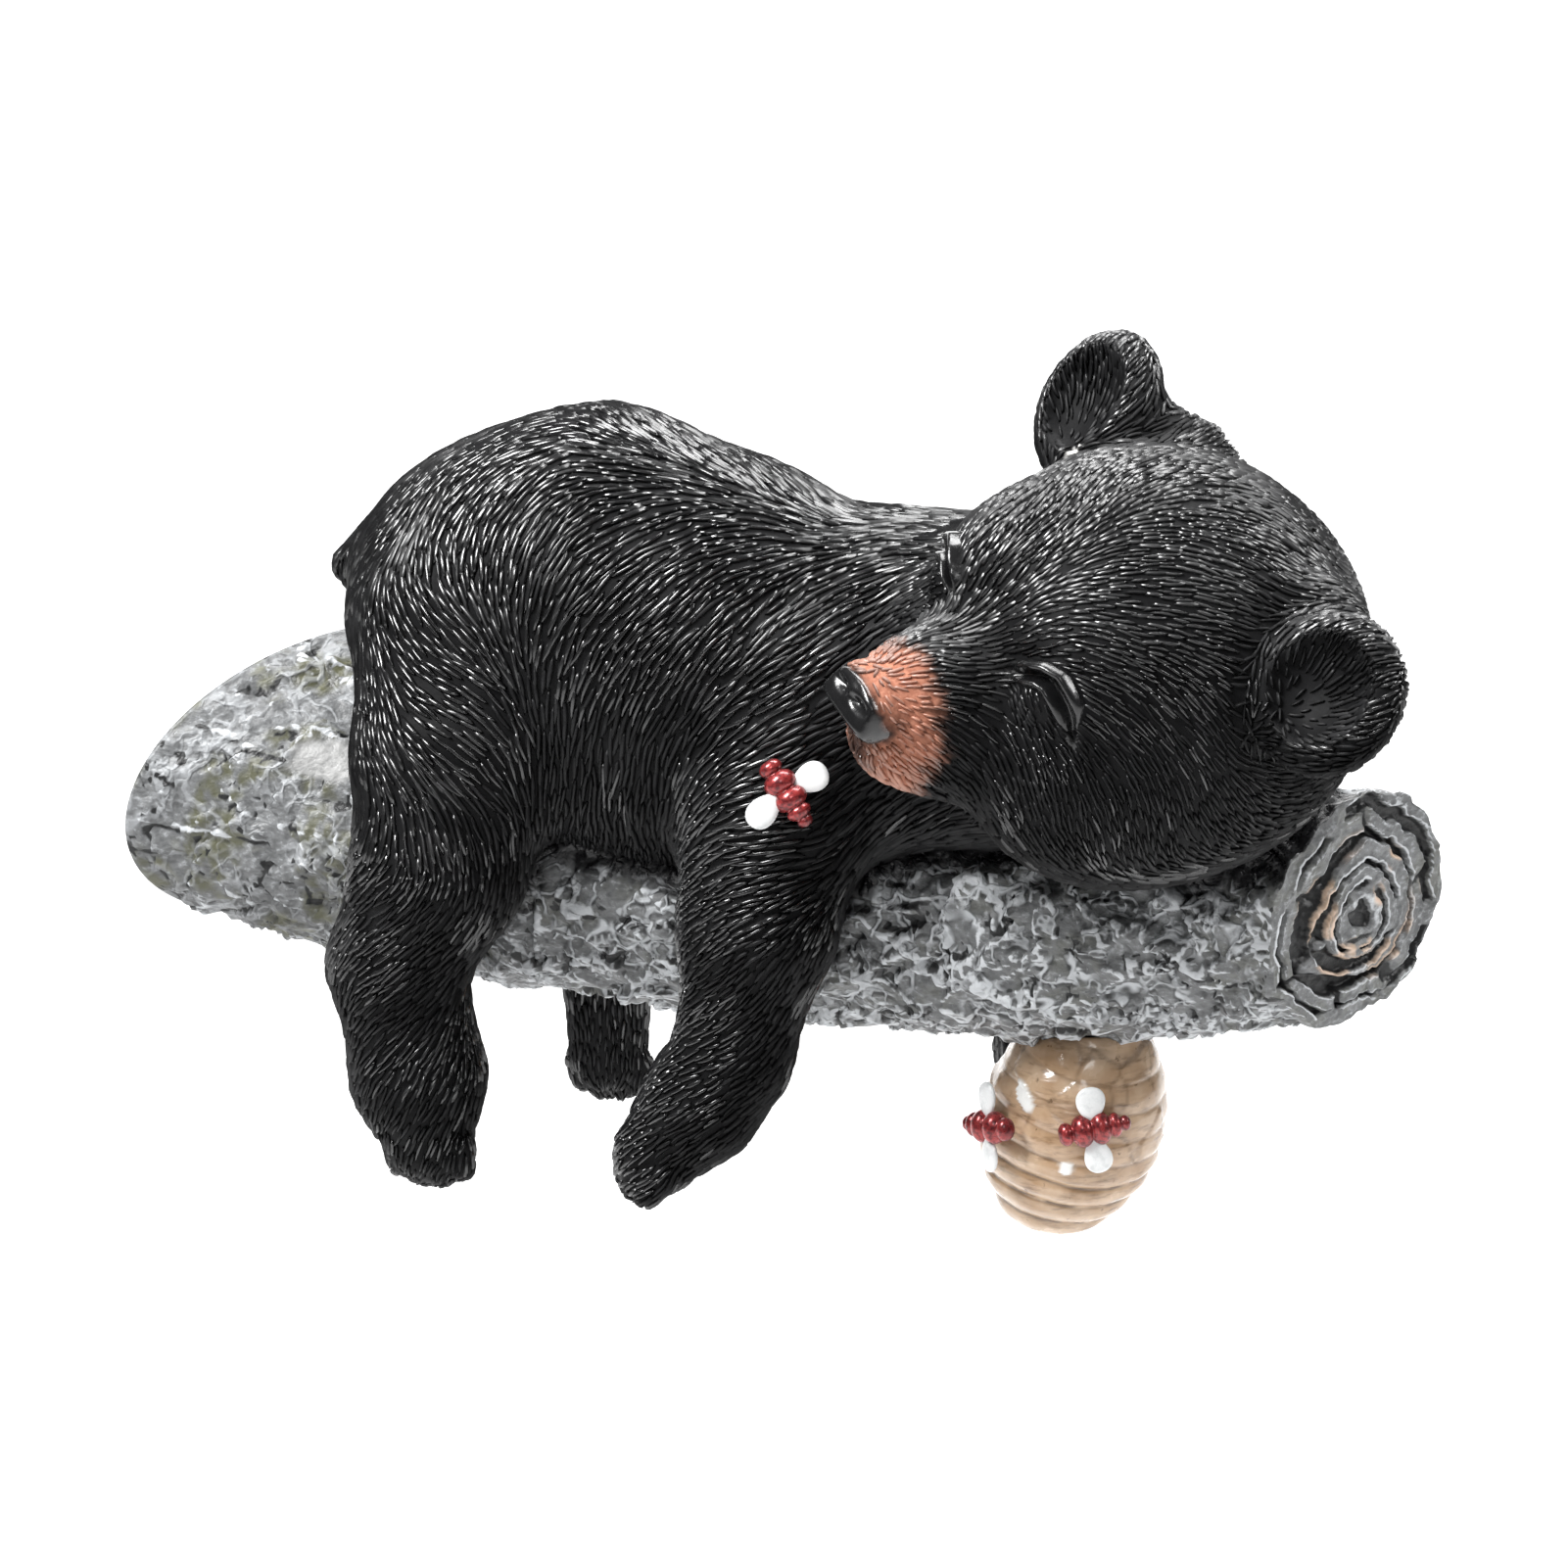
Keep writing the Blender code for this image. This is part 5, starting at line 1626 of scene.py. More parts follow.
@dataclass(frozen=True)
class BranchWork:
    """The branch's bark, sawn face and flat back, as one closed mesh.

    A year ring is its share of the radius, its width, its depth and the angle at which it is
    thickest. A split is its angle, the share of the radius where it starts, and its width.
    """

    branch: Branch
    bear: Bear
    rows: int = 366
    sides: int = 220
    face_rings: int = 70
    seen_side: float = -1.1
    scratches: tuple[tuple[tuple[float, float], ...], ...] = (
        ((-15.5, 15.6), (-5.5, 11.6), (4.8, 9.4)),
        ((-22.5, 0.8), (-11.0, -1.2), (-0.3, -2.3)),
        ((-3.0, 13.6), (2.0, 14.4), (9.0, 12.4)),
        ((-9.0, 5.6), (-4.0, 1.6)),
    )
    year_rings: tuple[tuple[float, ...], ...] = (
        (0.87, 0.034, 1.3, 0.5), (0.63, 0.056, 1.7, 3.3), (0.43, 0.036, 1.4, 3.9),
        (0.28, 0.018, 0.9, 0.9))
    splits: tuple[Triple, ...] = (
        (0.10, 0.62, 0.045), (1.45, 0.70, 0.03), (2.60, 0.52, 0.035), (3.50, 0.72, 0.035),
        (4.35, 0.60, 0.03), (5.15, 0.62, 0.07))

    def pale_patch_share(self, places: Points) -> Values:
        """Give where the bark is smoother and paler, in a patch next to the haunch."""
        offset = (places - np.array([7.4, -15.8, 10.6])) / np.array([6.4, 7.0, 2.9])
        return smooth_step(1.15, 0.85, np.linalg.norm(offset, axis=1) + 0.16 * cloud(places, 1.8, 85))

    def flakes(self, places: Points) -> tuple[Values, dict[str, Values]]:
        """Work out the bark's flakes.

        Args:
            places: Places on the smooth branch, in millimetres.

        Returns:
            How far the bark stands out at each, and the paint's measures.
        """
        warp = np.column_stack([cloud(places, 2.6, 40 + axis) for axis in range(3)])
        slow = np.column_stack([cloud(places, 7.0, 45 + axis) for axis in range(3)])
        bent = (places + 0.75 * warp + 1.3 * slow) * np.array([0.80, 1.0, 1.0])
        edge, own, offset = plates(bent, 4.7, 50)
        small_edge, small_own, small_offset = plates(bent + 0.5 * warp, 2.3, 60)
        lean = np.column_stack([np.cos(own * 37.0), np.sin(own * 37.0), np.cos(own * 71.0)])
        tilt = (offset * lean).sum(axis=1)
        lean = np.column_stack([np.cos(small_own * 41.0), np.sin(small_own * 53.0),
                                np.cos(small_own * 29.0)])
        small_tilt = (small_offset * lean).sum(axis=1)
        broken = smooth_step(-0.35, 0.15, cloud(places, 6.0, 70))
        height = 0.42 * (own - 0.5) + 0.17 * tilt
        height = height + (0.22 * (small_own - 0.5) + 0.17 * small_tilt) * broken
        rim = hump(edge, 0.62, 0.30) * smooth_step(-0.4, 0.5, tilt)
        small_rim = hump(small_edge, 0.40, 0.20) * broken * smooth_step(-0.2, 0.3, small_tilt)
        gap = hump(edge, 0.0, 0.26) * smooth_step(-0.75, 0.1, cloud(places, 5.0, 73))
        small_gap = hump(small_edge, 0.0, 0.17) * broken
        drawn = np.array([0.55, 1.0, 1.0])
        curl = cloud(bent * drawn, 3.0, 75) + 0.35 * cloud(bent * drawn, 1.3, 76)
        curl = hump(curl, 0.0, 0.085) * smooth_step(-0.1, 0.3, cloud(places, 5.5, 77))
        gash = cloud(places * drawn, 4.2, 78) + 0.25 * cloud(places, 1.1, 79)
        gash = hump(gash, 0.0, 0.06) * smooth_step(0.25, 0.55, cloud(places, 4.0, 74))
        height = height + 0.30 * rim + 0.16 * small_rim + 0.20 * curl
        height = height - 0.50 * gap - 0.30 * small_gap - 0.7 * gash + 0.07 * cloud(places, 0.9, 71)
        ridge = 0.95 * rim + 0.75 * small_rim + 0.95 * curl
        ridge = ridge + 0.35 * smooth_step(0.35, 0.65, height + 0.15 * cloud(places, 1.6, 72))
        from_wall = places[:, 0] - self.branch.wall_slope * places[:, 1]
        ridge = ridge * (0.55 + 0.45 * smooth_step(22.0, 50.0, from_wall))
        crack = 1.25 * gap * smooth_step(-0.5, 0.2, cloud(places, 3.0, 73)) + 0.6 * small_gap
        crack = np.clip(crack - 0.12, 0.0, 1.0)
        crack = np.maximum(crack * (1.0 - 0.7 * np.clip(ridge, 0.0, 1.0)), gash)
        for path in self.scratches:
            reach, past, share = path_reach(places[:, [0, 2]] + 0.35 * warp[:, [0, 2]], path)
            drawn_on = smooth_step(0.0, 0.1, share) * smooth_step(1.0, 0.9, share)
            drawn_on = drawn_on * (places[:, 1] < -6.0)
            cut = hump(reach, 0.0, 0.30) * drawn_on
            burr = hump(reach, 0.55, 0.30) * (past > 0.0) * drawn_on
            height = height - 0.5 * cut + 0.25 * burr
            crack = np.maximum(crack * (1.0 - burr), 0.75 * cut)
            ridge = np.maximum(ridge, burr)
        pale_patch = self.pale_patch_share(places)
        measures = {"ridge": np.clip(ridge * (1.0 - pale_patch), 0.0, 1.0),
                    "crack": np.clip(crack * (1.0 - pale_patch), 0.0, 1.0),
                    "tone": 0.65 * own + 0.35 * small_own}
        return height * (1.0 - 0.75 * pale_patch), measures

    def stains(self, places: Points, along: Values) -> dict[str, Values]:
        """Work out the green stain, and the black paint that strayed from the fur together with painted
        shade next to the cub.
        """
        patch = smooth_step(0.02, 0.34, cloud(places, 8.0, 80) + 0.4 * cloud(places, 3.0, 81))
        root = smooth_step(0.42, 0.10, along)
        moss = patch * (0.22 + 0.60 * root) * smooth_step(-0.35, 0.25, cloud(places, 1.3, 82))
        clump = np.linalg.norm((places - np.array([2.6, -6.0, 21.0])) / np.array([4.6, 5.0, 3.2]), axis=1)
        clump = smooth_step(1.2, 0.6, clump + 0.5 * cloud(places, 1.4, 86))
        moss = np.maximum(moss, clump) * (1.0 - self.pale_patch_share(places))
        spread = 1.3 * cloud(places, 2.2, 83) + 0.8 * cloud(places, 0.8, 84)
        # Near the cub the bark is blackened: strayed paint and painted shade together, in a wider band
        # under the head.
        spray_and_shade = smooth_step(4.0, 1.3, self.bear.distance(places) + spread)
        spray_and_shade_under_head = smooth_step(7.5, 3.0, self.bear.distance(places) + 1.5 * spread)
        spray_and_shade = np.maximum(spray_and_shade, spray_and_shade_under_head * smooth_step(139.0, 150.0, places[:, 0]))
        speckled = 0.8 * clump * smooth_step(0.0, 0.35, cloud(places, 0.9, 87))
        return {"moss": np.clip(moss, 0.0, 1.0), "spray_and_shade": np.maximum(spray_and_shade, speckled), "root": 0.45 * root}

    def face_height(self, share: Values, around: Values) -> tuple[Values, dict[str, Values]]:
        """Work out the growth rings and cracks of the sawn face.

        Args:
            share: How far each place is from the pith, one at the rim.
            around: The angle of each place.

        Returns:
            How far each place stands out of the face, and the paint's measures.
        """
        plane = np.column_stack([share * np.cos(around), share * np.sin(around), share * 0.0]) * 17.0
        wobble = 1.0 + 0.045 * np.sin(around * 3.0 + 0.6) + 0.025 * np.sin(around * 7.0 + 1.9)
        wobble = wobble + 0.075 * cloud(plane, 7.0, 90) + 0.022 * cloud(plane, 1.8, 96)
        round_share = share * wobble
        height = 0.25 * cloud(plane, 2.6, 91) + 0.10 * cloud(plane, 0.9, 92)
        dark = np.zeros(len(share))
        pale = np.zeros(len(share))
        for ring, width, depth, thick_way in self.year_rings:
            wide = 0.85 + 0.55 * np.cos(around - thick_way) + 0.30 * cloud(plane + ring * 30.0, 5.0, 97)
            wide = np.maximum(width * wide, 0.014)
            broken = smooth_step(-0.42, -0.30, cloud(plane + ring * 40.0, 5.0, 93))
            past = round_share - ring
            groove = smooth_step(1.75, 1.0, np.abs(past) / wide) * broken
            lip = hump(past, 1.25 * wide + 0.020, 0.017)
            inner = hump(past, -1.25 * wide - 0.018, 0.014)
            height = height - 1.1 * depth * groove + 0.26 * lip + 0.16 * inner
            dark = np.maximum(dark, groove)
            pale = np.maximum(pale, np.maximum(lip, 0.8 * inner) * broken)
        for angle, start, width in self.splits:
            turned = around - angle - 0.25 * (share - 0.5) - 0.08 * cloud(plane, 3.0, 94)
            turned = np.angle(np.exp(1j * turned))
            split = hump(turned * np.maximum(share, 0.1), 0.0, width)
            split = split * smooth_step(start, start + 0.06, share)
            split = split * smooth_step(start + 0.30, start + 0.20, share)
            height = height - split
            dark = np.maximum(dark, split)
        star = hump(plane[:, 0], 0.2, 2.0) * hump(plane[:, 1] + 0.4 * plane[:, 0], 1.4, 1.7)
        star = smooth_step(0.22, 0.50, star + 0.30 * cloud(plane, 1.5, 98))
        bar = hump(plane[:, 0], -0.2, 3.0) * hump(plane[:, 1], -2.4, 0.50)
        height = height - star - 0.6 * bar
        dark = np.maximum(dark, np.maximum(star, bar))
        heart = smooth_step(0.36, 0.22, share) * (1.0 - dark)
        drawn = np.column_stack([round_share * 40.0, plane[:, :2] * 0.25])
        streak = smooth_step(0.1, 0.6, cloud(drawn, 1.6, 99))
        lump = cloud(plane, 1.6, 100)
        height = height + 0.45 * lump * heart
        pale = np.maximum(pale, 0.75 * heart * smooth_step(0.05, 0.5, lump))
        cream = pale * smooth_step(-0.05, 0.35, cloud(plane, 3.4, 95)) * smooth_step(0.80, 0.6, share)
        return height, {"ridge": np.clip(np.maximum(pale, 0.62 * streak) - dark, 0.0, 1.0),
                        "crack": dark, "cream": np.clip(cream * (1.0 - dark), 0.0, 0.75),
                        "tone": 0.75 + 0.3 * cloud(plane, 5.0, 89)}

    def build(self, paint: BarkPaint) -> Item:
        """Make the branch.

        Args:
            paint: The bark's finish.

        Returns:
            The branch's object.
        """
        rows, sides = ((self.rows, self.sides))
        share = np.repeat(np.linspace(0.0, 1.0, rows), sides)
        angle = np.arange(sides) * 2.0 * math.pi / sides
        angle = angle - 0.42 * np.sin(angle - self.seen_side)
        around = np.tile(angle, rows)
        main = self.branch.bark_depth * self.branch.bark(share, around) * smooth_step(0.0, 0.04, share)
        smooth = self.branch.skin(share, around, 0.0)
        height, measures = self.flakes(smooth)
        ends = smooth_step(0.0, 0.012, share) * (0.45 + 0.55 * smooth_step(1.0, 0.975, share))
        grown = self.branch.skin(share, around, 0.72 * main + height * ends - 0.1)
        measures.update(self.stains(grown, share))
        covered = 1.0 - self.pale_patch_share(smooth)
        measures["cream"] = np.zeros(len(grown))
        measures["pale_patch"] = 1.0 - covered
        measures["flaked"] = smooth_step(0.995, 0.98, share) * covered
        layers = [grown]
        kept = {key: [values] for key, values in measures.items()}
        rim = grown[-sides:]
        middle = rim.mean(axis=0)
        rings = self.face_rings if rows > 200 else 20
        for ring in range(1, rings):
            part = 1.0 - (ring / rings) ** 0.94 if ring < rings - 1 else 0.012
            rise, marks = self.face_height(np.full(sides, part), angle)
            rise = rise * smooth_step(1.0, 0.95, np.full(sides, part)) - 0.1
            place = middle + (rim - middle) * part + rise[:, None] * self.branch.saw_way
            marks.update(self.stains(place, np.ones(sides)))
            marks["spray_and_shade"] = marks["spray_and_shade"] * 0.35
            marks["flaked"] = marks["pale_patch"] = np.zeros(sides)
            layers.append(place)
            for key, values in marks.items():
                kept[key].append(values)
        back_rim = grown[:sides]
        back_middle = back_rim.mean(axis=0)
        shrunk = (0.985, 0.9, 0.8, 0.7, 0.6, 0.5, 0.4, 0.3, 0.2, 0.1, 0.01)
        layers.extend(back_middle + (back_rim - back_middle) * part for part in shrunk)
        for key, values in kept.items():
            values.append(np.full(sides * len(shrunk), 0.12 if key == "crack" else 0.0))
        points = np.vstack(layers)
        top = rows + rings - 1
        start = top * sides
        side = np.arange(sides)
        after = (side + 1) % sides
        joint = np.stack([side, start + side, start + after, after], axis=-1)
        inner = grid_faces(len(shrunk), sides, start)[:, ::-1]
        caps = [ring_cap(sides, start - sides), ring_cap(sides, len(points) - sides, True)]
        measures = {key: np.concatenate(values) for key, values in kept.items()}
        return mesh_object("branch_bark", points, [grid_faces(top, sides), joint, inner, *caps],
                           [paint.material("grey_bark")], measures)


@dataclass(frozen=True)
class Beehive:
    """The coiled hive that hangs under the branch.

    A dab is stray white paint: its angle about the hive, its share of the height, its two half
    widths and its slant.
    """

    branch: Branch
    length: float = 34.5
    radius: float = 14.0
    along: float = 165.2 * 0.764
    lean: float = 15.0
    coils: int = 8
    rows: int = 150
    sides: int = 150
    dabs: tuple[tuple[float, ...], ...] = ((-77.0, 0.50, 1.1, 1.1, 0.0), (-119.0, 0.72, 2.8, 1.2, 2.55))

    def frame(self) -> tuple[Points, Points]:
        """Give the top of the hive in the turned frame, and its three axes as rows."""
        lean = math.radians(self.lean)
        along = np.array([math.cos(lean), 0.0, -math.sin(lean)])
        axis = np.array([math.sin(lean), 0.0, math.cos(lean)])
        axes = np.array([along, (0.0, 1.0, 0.0), axis])
        share = np.array([self.along / self.branch.reach])
        under = float(self.branch.middle(share)[0]) - self.branch.radius * 1.02
        return np.array([self.along, 0.0, under]), axes

    def girth(self, share: Values | float) -> Values:
        """Give the share of the full radius at a share of the height."""
        return np.sin(np.pi * np.minimum(1.0, 0.06 + share * 0.80)) ** 0.62

    def profile(self) -> list[tuple[float, float]]:
        """Give radius and height pairs from the foot up, with one swell per coil."""
        made = [(0.0, -self.length)]
        steps = self.coils * 2
        for step in range(1, steps + 1):
            share = step / (steps + 0.5)
            body = float(self.girth(share))
            coil = self.radius * (0.030 if step % 2 else -0.030)
            made.append((self.radius * body + coil, self.length * (share - 1.0)))
        made.append((self.radius * 0.55, self.branch.radius * 0.35))
        made.append((0.0, self.branch.radius * 0.35))
        return made

    def surface(self, angle_deg: float, share: float) -> tuple[Points, Points]:
        """Give a place on the hive and the way out of it there.

        Args:
            angle_deg: Angle about the hive's axis.
            share: Share of the hive's height.

        Returns:
            The place and the way, both in the turned frame.
        """
        radii, heights = np.array(self.profile()).T
        height = self.length * (share - 1.0)
        lower, radius, upper = np.interp([height - 3.0, height, height + 3.0], heights, radii)
        angle = math.radians(angle_deg)
        top, axes = self.frame()
        local = np.array([radius * math.cos(angle), radius * math.sin(angle), height])
        way = np.array([math.cos(angle), math.sin(angle), (lower - upper) / 6.0])
        return local @ axes + top, unit(way) @ axes

    def build(self, paint: HivePaint) -> Item:
        """Make the hive.

        Args:
            paint: The hive's finish.

        Returns:
            The hive's object.
        """
        top, axes = self.frame()
        share = np.repeat(np.linspace(0.0, 1.16, self.rows), self.sides)
        around = np.tile(np.arange(self.sides) * 2.0 * math.pi / self.sides, self.rows)
        body = self.girth(share)
        foot = np.sqrt(np.clip(1.0 - (1.0 - np.clip(share / 0.06, 0.0, 1.0)) ** 2, 0.0, 1.0))
        phase = np.pi * (self.coils * 2 + 0.5) * share - around
        # Coils are full depth low down and fade towards the top.
        top_sheen_and_coil_depth = smooth_step(0.66, 0.36, share)
        place = np.column_stack([body * np.cos(around), body * np.sin(around), share * 2.4]) * self.radius
        swell = np.abs(np.cos(phase * 0.5 + 0.25 * cloud(place, 6.0, 101))) ** 0.7
        coil = (swell - 0.62) * (0.35 + 0.65 * top_sheen_and_coil_depth)
        edge, own, offset = plates(place + 0.8 * cloud(place, 4.0, 102)[:, None], 7.5, 103)
        lean = (offset * np.array([math.cos(9.0), math.sin(9.0), 0.4])).sum(axis=1)
        facet = (0.30 * (own - 0.5) + 0.030 * lean) * smooth_step(0.42, 0.62, share)
        radius = self.radius * body + 0.95 * coil + facet + 0.10 * cloud(place, 2.2, 104)
        radius = radius * foot
        height = self.length * (share - 1.0) + 0.9 * (1.0 - foot)
        local = np.column_stack([radius * np.cos(around), radius * np.sin(around), height])
        points = local @ axes + top
        for _ in range(8):
            deep = np.maximum(0.0, -0.35 - self.branch.distance(points))
            points = points - deep[:, None] * axes[2] * 0.9
        valley = smooth_step(0.42, 0.10, swell) * (0.30 + 0.70 * top_sheen_and_coil_depth)
        crack = 0.35 * hump(edge, 0.0, 0.28) * smooth_step(0.40, 0.6, share)
        wash = valley * smooth_step(-0.6, 0.2, cloud(place, 3.0, 105)) + crack
        fleck = np.zeros(len(points))
        for angle, height_share, long_half, short_half, slant in self.dabs:
            dab_place, dab_way = self.surface(angle, height_share)
            level = unit(np.cross(axes[2], dab_way))
            long_way = level * math.cos(slant) + axes[2] * math.sin(slant)
            offset = points - dab_place
            along = offset @ long_way
            across = np.sqrt(np.maximum((offset * offset).sum(axis=1) - along * along, 0.0))
            reach = np.hypot(along / long_half, across / short_half) + 0.16 * cloud(points, 0.9, 106)
            fleck = np.maximum(fleck, smooth_step(1.15, 0.90, reach))
        outwards = np.column_stack([np.cos(around), np.sin(around), 0.0 * around]) @ axes
        points = points + outwards * (0.40 * fleck)[:, None]
        faces = [grid_faces(self.rows, self.sides), ring_cap(self.sides, 0, True),
                 ring_cap(self.sides, (self.rows - 1) * self.sides)]
        return mesh_object("beehive_coils", points, faces, [paint.material("tan_hive")],
                           {"wash": np.clip(wash, 0.0, 1.0), "fleck": fleck})


@dataclass(frozen=True)
class Wing:
    """One thick white wing: its root and way on the bee, in shares of the bee's length."""

    root: Triple
    way: tuple[float, float]
    length: float
    width: float


@dataclass(frozen=True)
class Bee:
    """A bee with a ringed red body and thick white wings, glued where it sits.

    A lump of its body is the middle, half the length and the thickness, as shares of the whole.
    """

    name: str
    node: str
    place: Points
    out_way: Points
    head_way: Triple
    wings: tuple[Wing, ...]
    length: float = 11.2
    glue_gap: float = 0.32
    lumps: tuple[Triple, ...] = (
        (0.10, 0.115, 0.72), (0.325, 0.165, 1.0), (0.575, 0.160, 1.03), (0.775, 0.105, 0.76),
        (0.915, 0.080, 0.48), (0.5, 0.5, 0.60))

    def axes(self) -> Points:
        """Give the bee's axes as rows: towards its tail, to its side, and off its back."""
        up_way = unit(np.asarray(self.out_way, dtype=float))
        head = np.asarray(self.head_way, dtype=float)
        head = unit(head - up_way * float(head @ up_way))
        return np.array([-head, np.cross(up_way, -head), up_way])

    def body(self) -> tuple[Points, list[np.ndarray], Values]:
        """Make the body.

        Returns:
            Its corners in the bee's frame, its faces, and how dark each corner is.
        """
        rows, sides = 72, 28
        share = np.linspace(0.0, 1.0, rows)
        size = np.zeros(rows)
        for middle, half, tall in self.lumps:
            bulge = np.sqrt(np.clip(1.0 - ((share - middle) / half) ** 2, 0.0, 1.0))
            size = np.maximum(size, tall * bulge)
        thick = self.length * 0.225
        station = np.repeat(share, sides)
        angle = np.tile(np.arange(sides) * 2.0 * math.pi / sides, rows)
        radius = np.repeat(size, sides) * thick
        points = np.column_stack([
            (station - 0.5) * self.length,
            radius * np.sin(angle),
            np.maximum(radius * np.cos(angle) * 0.86 + thick * 0.80, -0.1),
        ])
        dark = np.clip(1.0 - np.repeat(size, sides) * 1.35, 0.0, 1.0)
        faces = [grid_faces(rows, sides)[:, ::-1], ring_cap(sides),
                 ring_cap(sides, (rows - 1) * sides, True)]
        return points, faces, dark

    def wing(self, wing: Wing) -> tuple[Points, np.ndarray, np.ndarray]:
        """Make one wing, a thick drop of paint that is fullest in its middle.

        Args:
            wing: Where it is and its size.

        Returns:
            Its corners in the bee's frame, its four-sided faces, and its two end faces.
        """
        rows, sides = 13, 30
        way = unit(np.array([wing.way[0], wing.way[1], 0.0]))
        across = np.array([-way[1], way[0], 0.0])
        middle = np.asarray(wing.root) * self.length + way * wing.length * self.length * 0.5
        middle = middle + np.array([0.0, 0.0, self.length * 0.20])
        tilt = np.linspace(-0.5 * math.pi, 0.5 * math.pi, rows)
        angle = np.arange(sides) * 2.0 * math.pi / sides
        shrink = np.maximum(np.cos(tilt), 0.02)[:, None] ** 0.6
        reach = np.cos(angle)[None] * wing.length * self.length * 0.5 * shrink
        spread = np.sin(angle)[None] * wing.width * self.length * 0.5 * shrink
        spread = spread * (0.86 + 0.2 * np.cos(angle))[None]
        rise = np.sin(tilt)[:, None, None] * self.length * 0.062 * np.array([0.0, 0.0, 1.0])
        points = middle + reach[..., None] * way + spread[..., None] * across + rise
        caps = np.stack([np.arange(sides)[::-1], np.arange(sides) + (rows - 1) * sides])
        return points.reshape(-1, 3), grid_faces(rows, sides), caps

    def build(self, red: Material, white: Material) -> Item:
        """Make the bee.

        Args:
            red: The body's material.
            white: The wings' material.

        Returns:
            The bee's object.
        """
        body, faces, dark = self.body()
        layers, measures = [body], [dark]
        parts = [np.zeros(sum(len(group) for group in faces), dtype=int)]
        start = len(body)
        for wing in self.wings:
            blade, blade_faces, caps = self.wing(wing)
            layers.append(blade)
            measures.append(np.zeros(len(blade)))
            faces.extend([blade_faces + start, caps + start])
            parts.append(np.ones(len(blade_faces) + len(caps), dtype=int))
            start += len(blade)
        origin = np.asarray(self.place) + unit(np.asarray(self.out_way)) * self.glue_gap
        points = np.vstack(layers) @ self.axes() + origin
        return mesh_object(self.name, points, faces, [red, white], {"wash": np.concatenate(measures)},
                           np.concatenate(parts))


@dataclass(frozen=True)
class Studio:
    """The pale floor, the soft lights and the camera."""

    aim: Triple = (0.04847, -0.05776, 0.0084)
    away: float = 0.900
    field: float = 0.24015
    floor_height: float = -0.19

    def view_axes(self) -> Matrix:
        """Give the camera's turn: right, up and back as columns."""
        return Matrix(picture_ways().tolist()).transposed()

    def add_camera(self) -> None:
        """Put the camera at the photograph's viewing angle."""
        lens = bpy.data.cameras.new("camera")
        lens.sensor_width = 36.0
        lens.lens = 36.0 * self.away / self.field
        lens.clip_end = 20.0
        camera = bpy.data.objects.new("camera", lens)
        axes = self.view_axes()
        place = Vector(self.aim) + axes @ Vector((0.0, 0.0, self.away))
        camera.matrix_world = Matrix.Translation(place) @ axes.to_4x4()
        bpy.context.scene.collection.objects.link(camera)
        bpy.context.scene.camera = camera

    def add_light(self, name: str, seen: Triple, size: tuple[float, float], watts: float,
                  past: float = 0.0) -> None:
        """Add a soft box that faces the object, or the floor behind it.

        Args:
            name: The light's name.
            seen: Its place from the aim, along the camera's right, up and back, in metres.
            size: Its width and height in metres.
            watts: Its strength.
            past: How far from the object along the camera's back the box faces, in metres.
        """
        lamp = bpy.data.lights.new(name, "AREA")
        lamp.shape = "RECTANGLE"
        lamp.size, lamp.size_y = size
        lamp.energy = watts
        item = bpy.data.objects.new(name, lamp)
        place = Vector(self.aim) + self.view_axes() @ Vector(seen)
        item.location = place
        level = self.view_axes() @ Vector((0.0, 0.0, 1.0))
        level.z = 0.0
        faced = Vector(self.aim) + level.normalized() * past
        if past:
            faced.z = self.floor_height
        item.rotation_euler = (faced - place).to_track_quat("-Z", "Y").to_euler()
        bpy.context.scene.collection.objects.link(item)

    def add_floor(self) -> None:
        """Lay the pale floor, well below an object that hangs on a wall."""
        paint = Painter("pale_floor")
        grain = paint.grain(0.02, 3.0)
        colour = paint.mix(grain, (0.64, 0.64, 0.64), (0.68, 0.68, 0.68))
        material = paint.finish(colour, 0.85, paint.bump(grain, 0.05, 0.0005))
        mesh = bpy.data.meshes.new("floor")
        half = 8.0
        mesh.from_pydata([(-half, -half, 0.0), (half, -half, 0.0), (half, half, 0.0), (-half, half, 0.0)],
                         [], [(0, 1, 2, 3)])
        mesh.materials.append(material)
        floor = bpy.data.objects.new("floor", mesh)
        floor.location = (0.0, 0.0, self.floor_height)
        bpy.context.scene.collection.objects.link(floor)

    def add_sky(self) -> None:
        """Fill the room with even pale light."""
        world = bpy.data.worlds.new("studio")
        world.use_nodes = True
        light = world.node_tree.nodes["Background"]
        light.inputs["Color"].default_value = (1.0, 1.0, 1.0, 1.0)
        light.inputs["Strength"].default_value = 0.12
        bpy.context.scene.world = world
        bpy.context.scene.view_settings.view_transform = "Standard"

    def build(self) -> None:
        """Set up the whole studio."""
        self.add_camera()
        self.add_floor()
        self.add_sky()
        self.add_light("key_box", (-0.62, 0.80, 0.62), (0.46, 0.46), 27.0)
        self.add_light("top_box", (0.20, 1.05, -0.05), (0.9, 0.34), 16.0)
        self.add_light("right_box", (0.95, 0.55, 0.35), (0.20, 0.6), 8.0)
        self.add_light("front_box", (0.05, 0.35, 1.15), (0.30, 0.30), 1.8)
        self.add_light("back_box", (0.0, 0.55, -1.40), (2.2, 1.2), 26.0, -1.2)


def hold(piece: Item, node: str, replace: bool = True) -> None:
    """Fix a piece to the root body, and, unless told not to, hide the solid that it replaces."""
    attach(piece, "root")
    if replace:
        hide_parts(node)


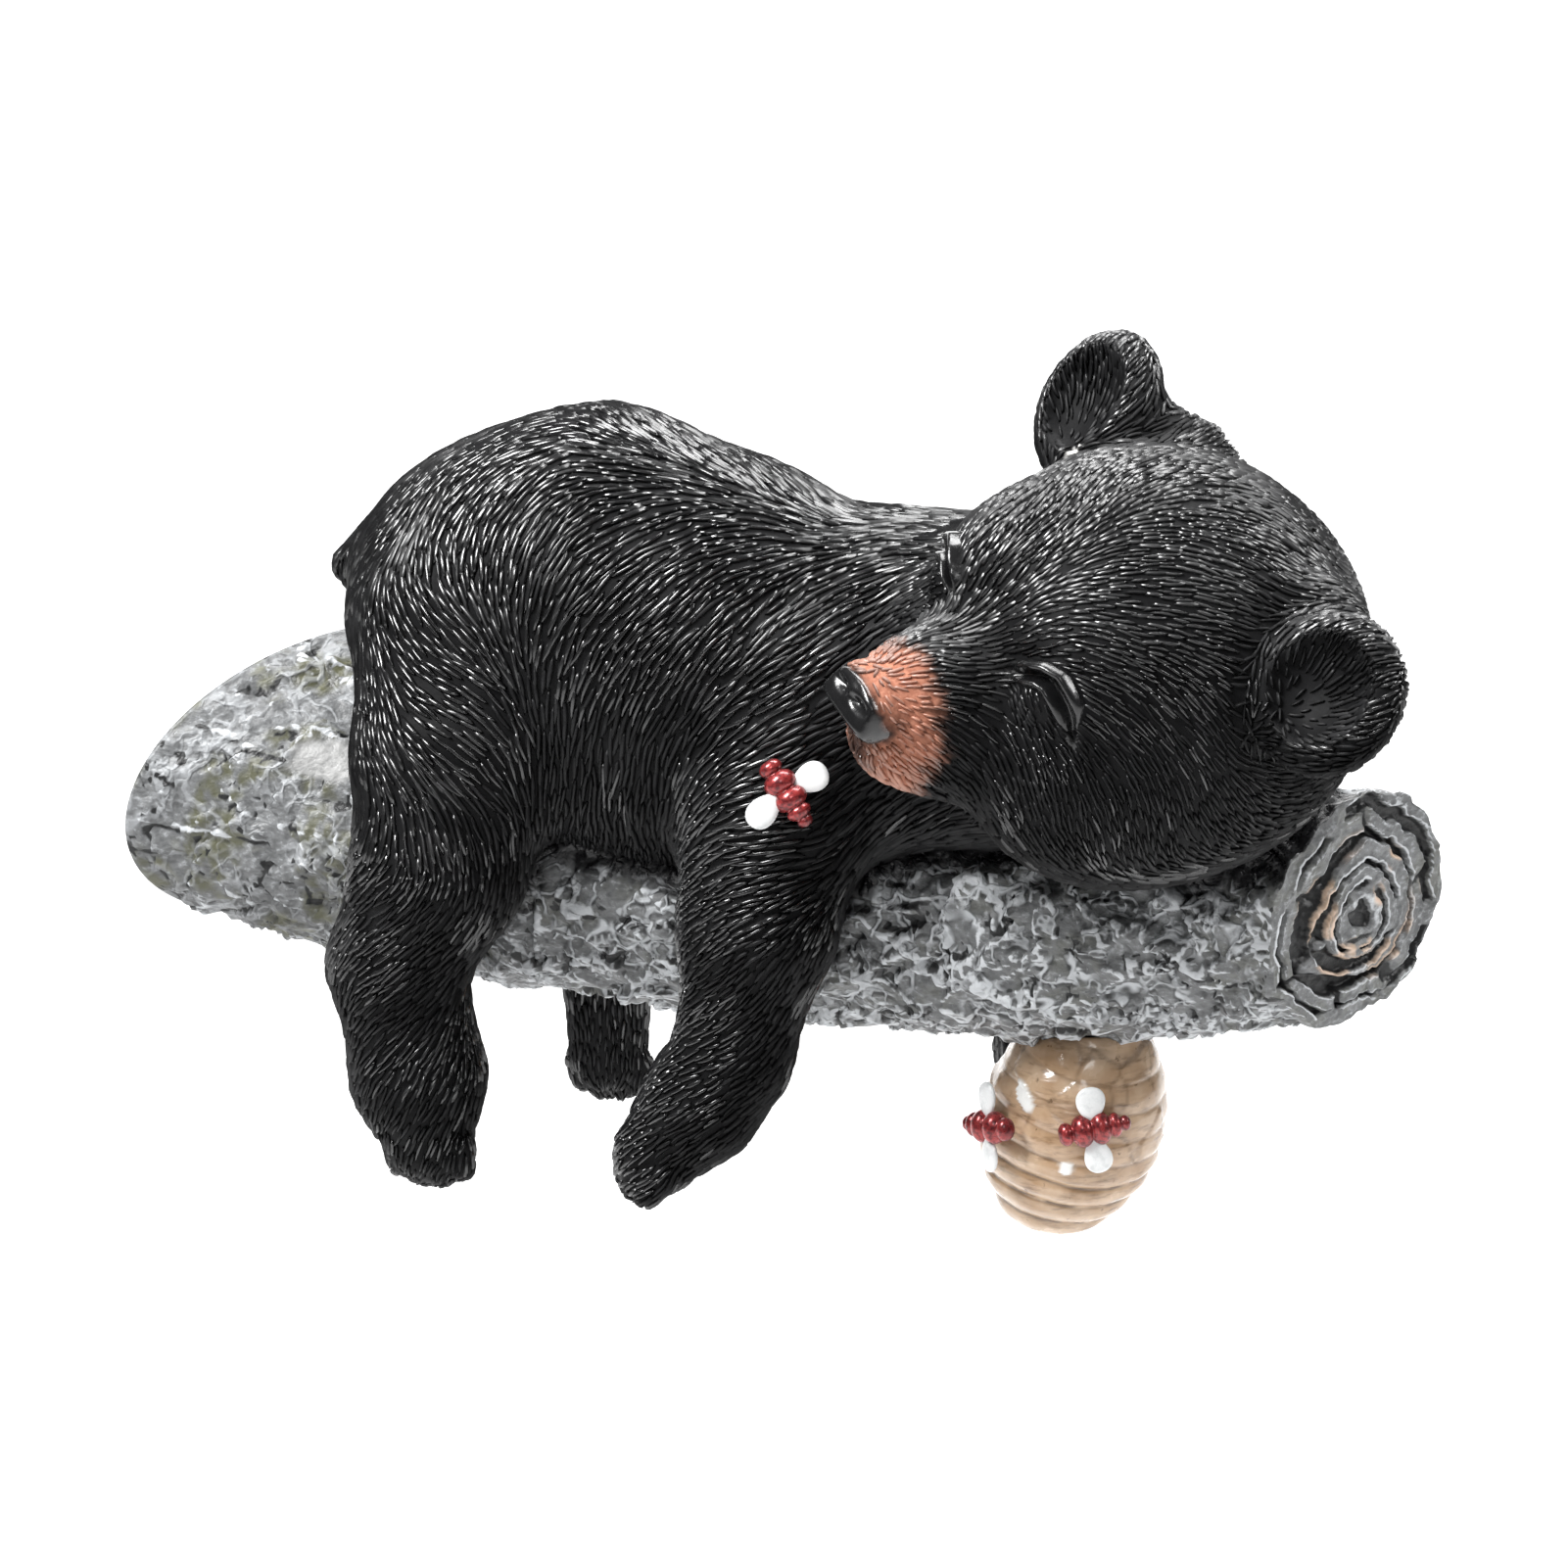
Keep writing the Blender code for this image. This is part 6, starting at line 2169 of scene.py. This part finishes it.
def bees(bear: Bear, hive: Beehive) -> list[Bee]:
    """Place the three bees.

    Args:
        bear: The cub, for the bee on its foreleg.
        hive: The hive, for the other two.

    Returns:
        The bees.
    """
    start = np.array([[87.5, -36.0, 20.5]])
    leg_place, _ = settle(bear.distance, start, 12)
    leg_way = unit(downhill(bear.distance, leg_place, 0.2)[0])
    front_place, front_way = hive.surface(-68.0, 0.72)
    side_place, side_way = hive.surface(-128.0, 0.545)
    return [
        Bee("foreleg_bee", "bee_on_foreleg", leg_place[0], leg_way, (-0.42, -0.12, 0.78), (
            Wing((-0.05, 0.12, 0.0), (0.15, 1.0), 0.50, 0.46),
            Wing((-0.05, -0.12, 0.0), (0.25, -1.0), 0.54, 0.44))),
        Bee("hive_front_bee", "bee_on_hive_front", front_place, front_way, (-1.0, 0.0, -0.20), (
            Wing((-0.03, 0.12, 0.0), (0.1, 1.0), 0.48, 0.46),
            Wing((-0.05, -0.12, 0.0), (0.1, -1.0), 0.50, 0.44))),
        Bee("hive_side_bee", "bee_on_hive_side", side_place, side_way, (0.72, -0.69, 0.25), (
            Wing((-0.05, 0.12, 0.0), (-0.1, 1.0), 0.50, 0.34),
            Wing((-0.05, -0.12, 0.0), (0.1, -1.0), 0.50, 0.38))),
    ]


def main() -> None:
    """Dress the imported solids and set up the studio."""
    logging.basicConfig(level=logging.INFO, format="%(name)s: %(message)s")
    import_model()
    branch = Branch()
    bear = Bear(Head(), branch, Sight())
    fur = FurPaint()
    body, places, ways, triangles = bear.build_body(fur)
    hold(body, "bear")
    LOG.info("%s: %d triangles", body.name, len(body.data.polygons))
    for piece in bear.build_coat(fur, places, ways, triangles):
        hold(piece, "bear", False)
    bark = BranchWork(branch, bear).build(BarkPaint())
    hold(bark, "branch")
    LOG.info("%s: %d faces", bark.name, len(bark.data.polygons))
    hive = Beehive(branch)
    coils = hive.build(HivePaint())
    hold(coils, "beehive")
    LOG.info("%s: %d faces", coils.name, len(coils.data.polygons))
    red = BeePaint().material("red_bee")
    white = WingPaint().material("white_wing")
    for bee in bees(bear, hive):
        piece = bee.build(red, white)
        hold(piece, bee.node)
        LOG.info("%s: %d faces", piece.name, len(piece.data.polygons))
    Studio().build()
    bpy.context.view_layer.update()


if __name__ == "__main__":
    main()
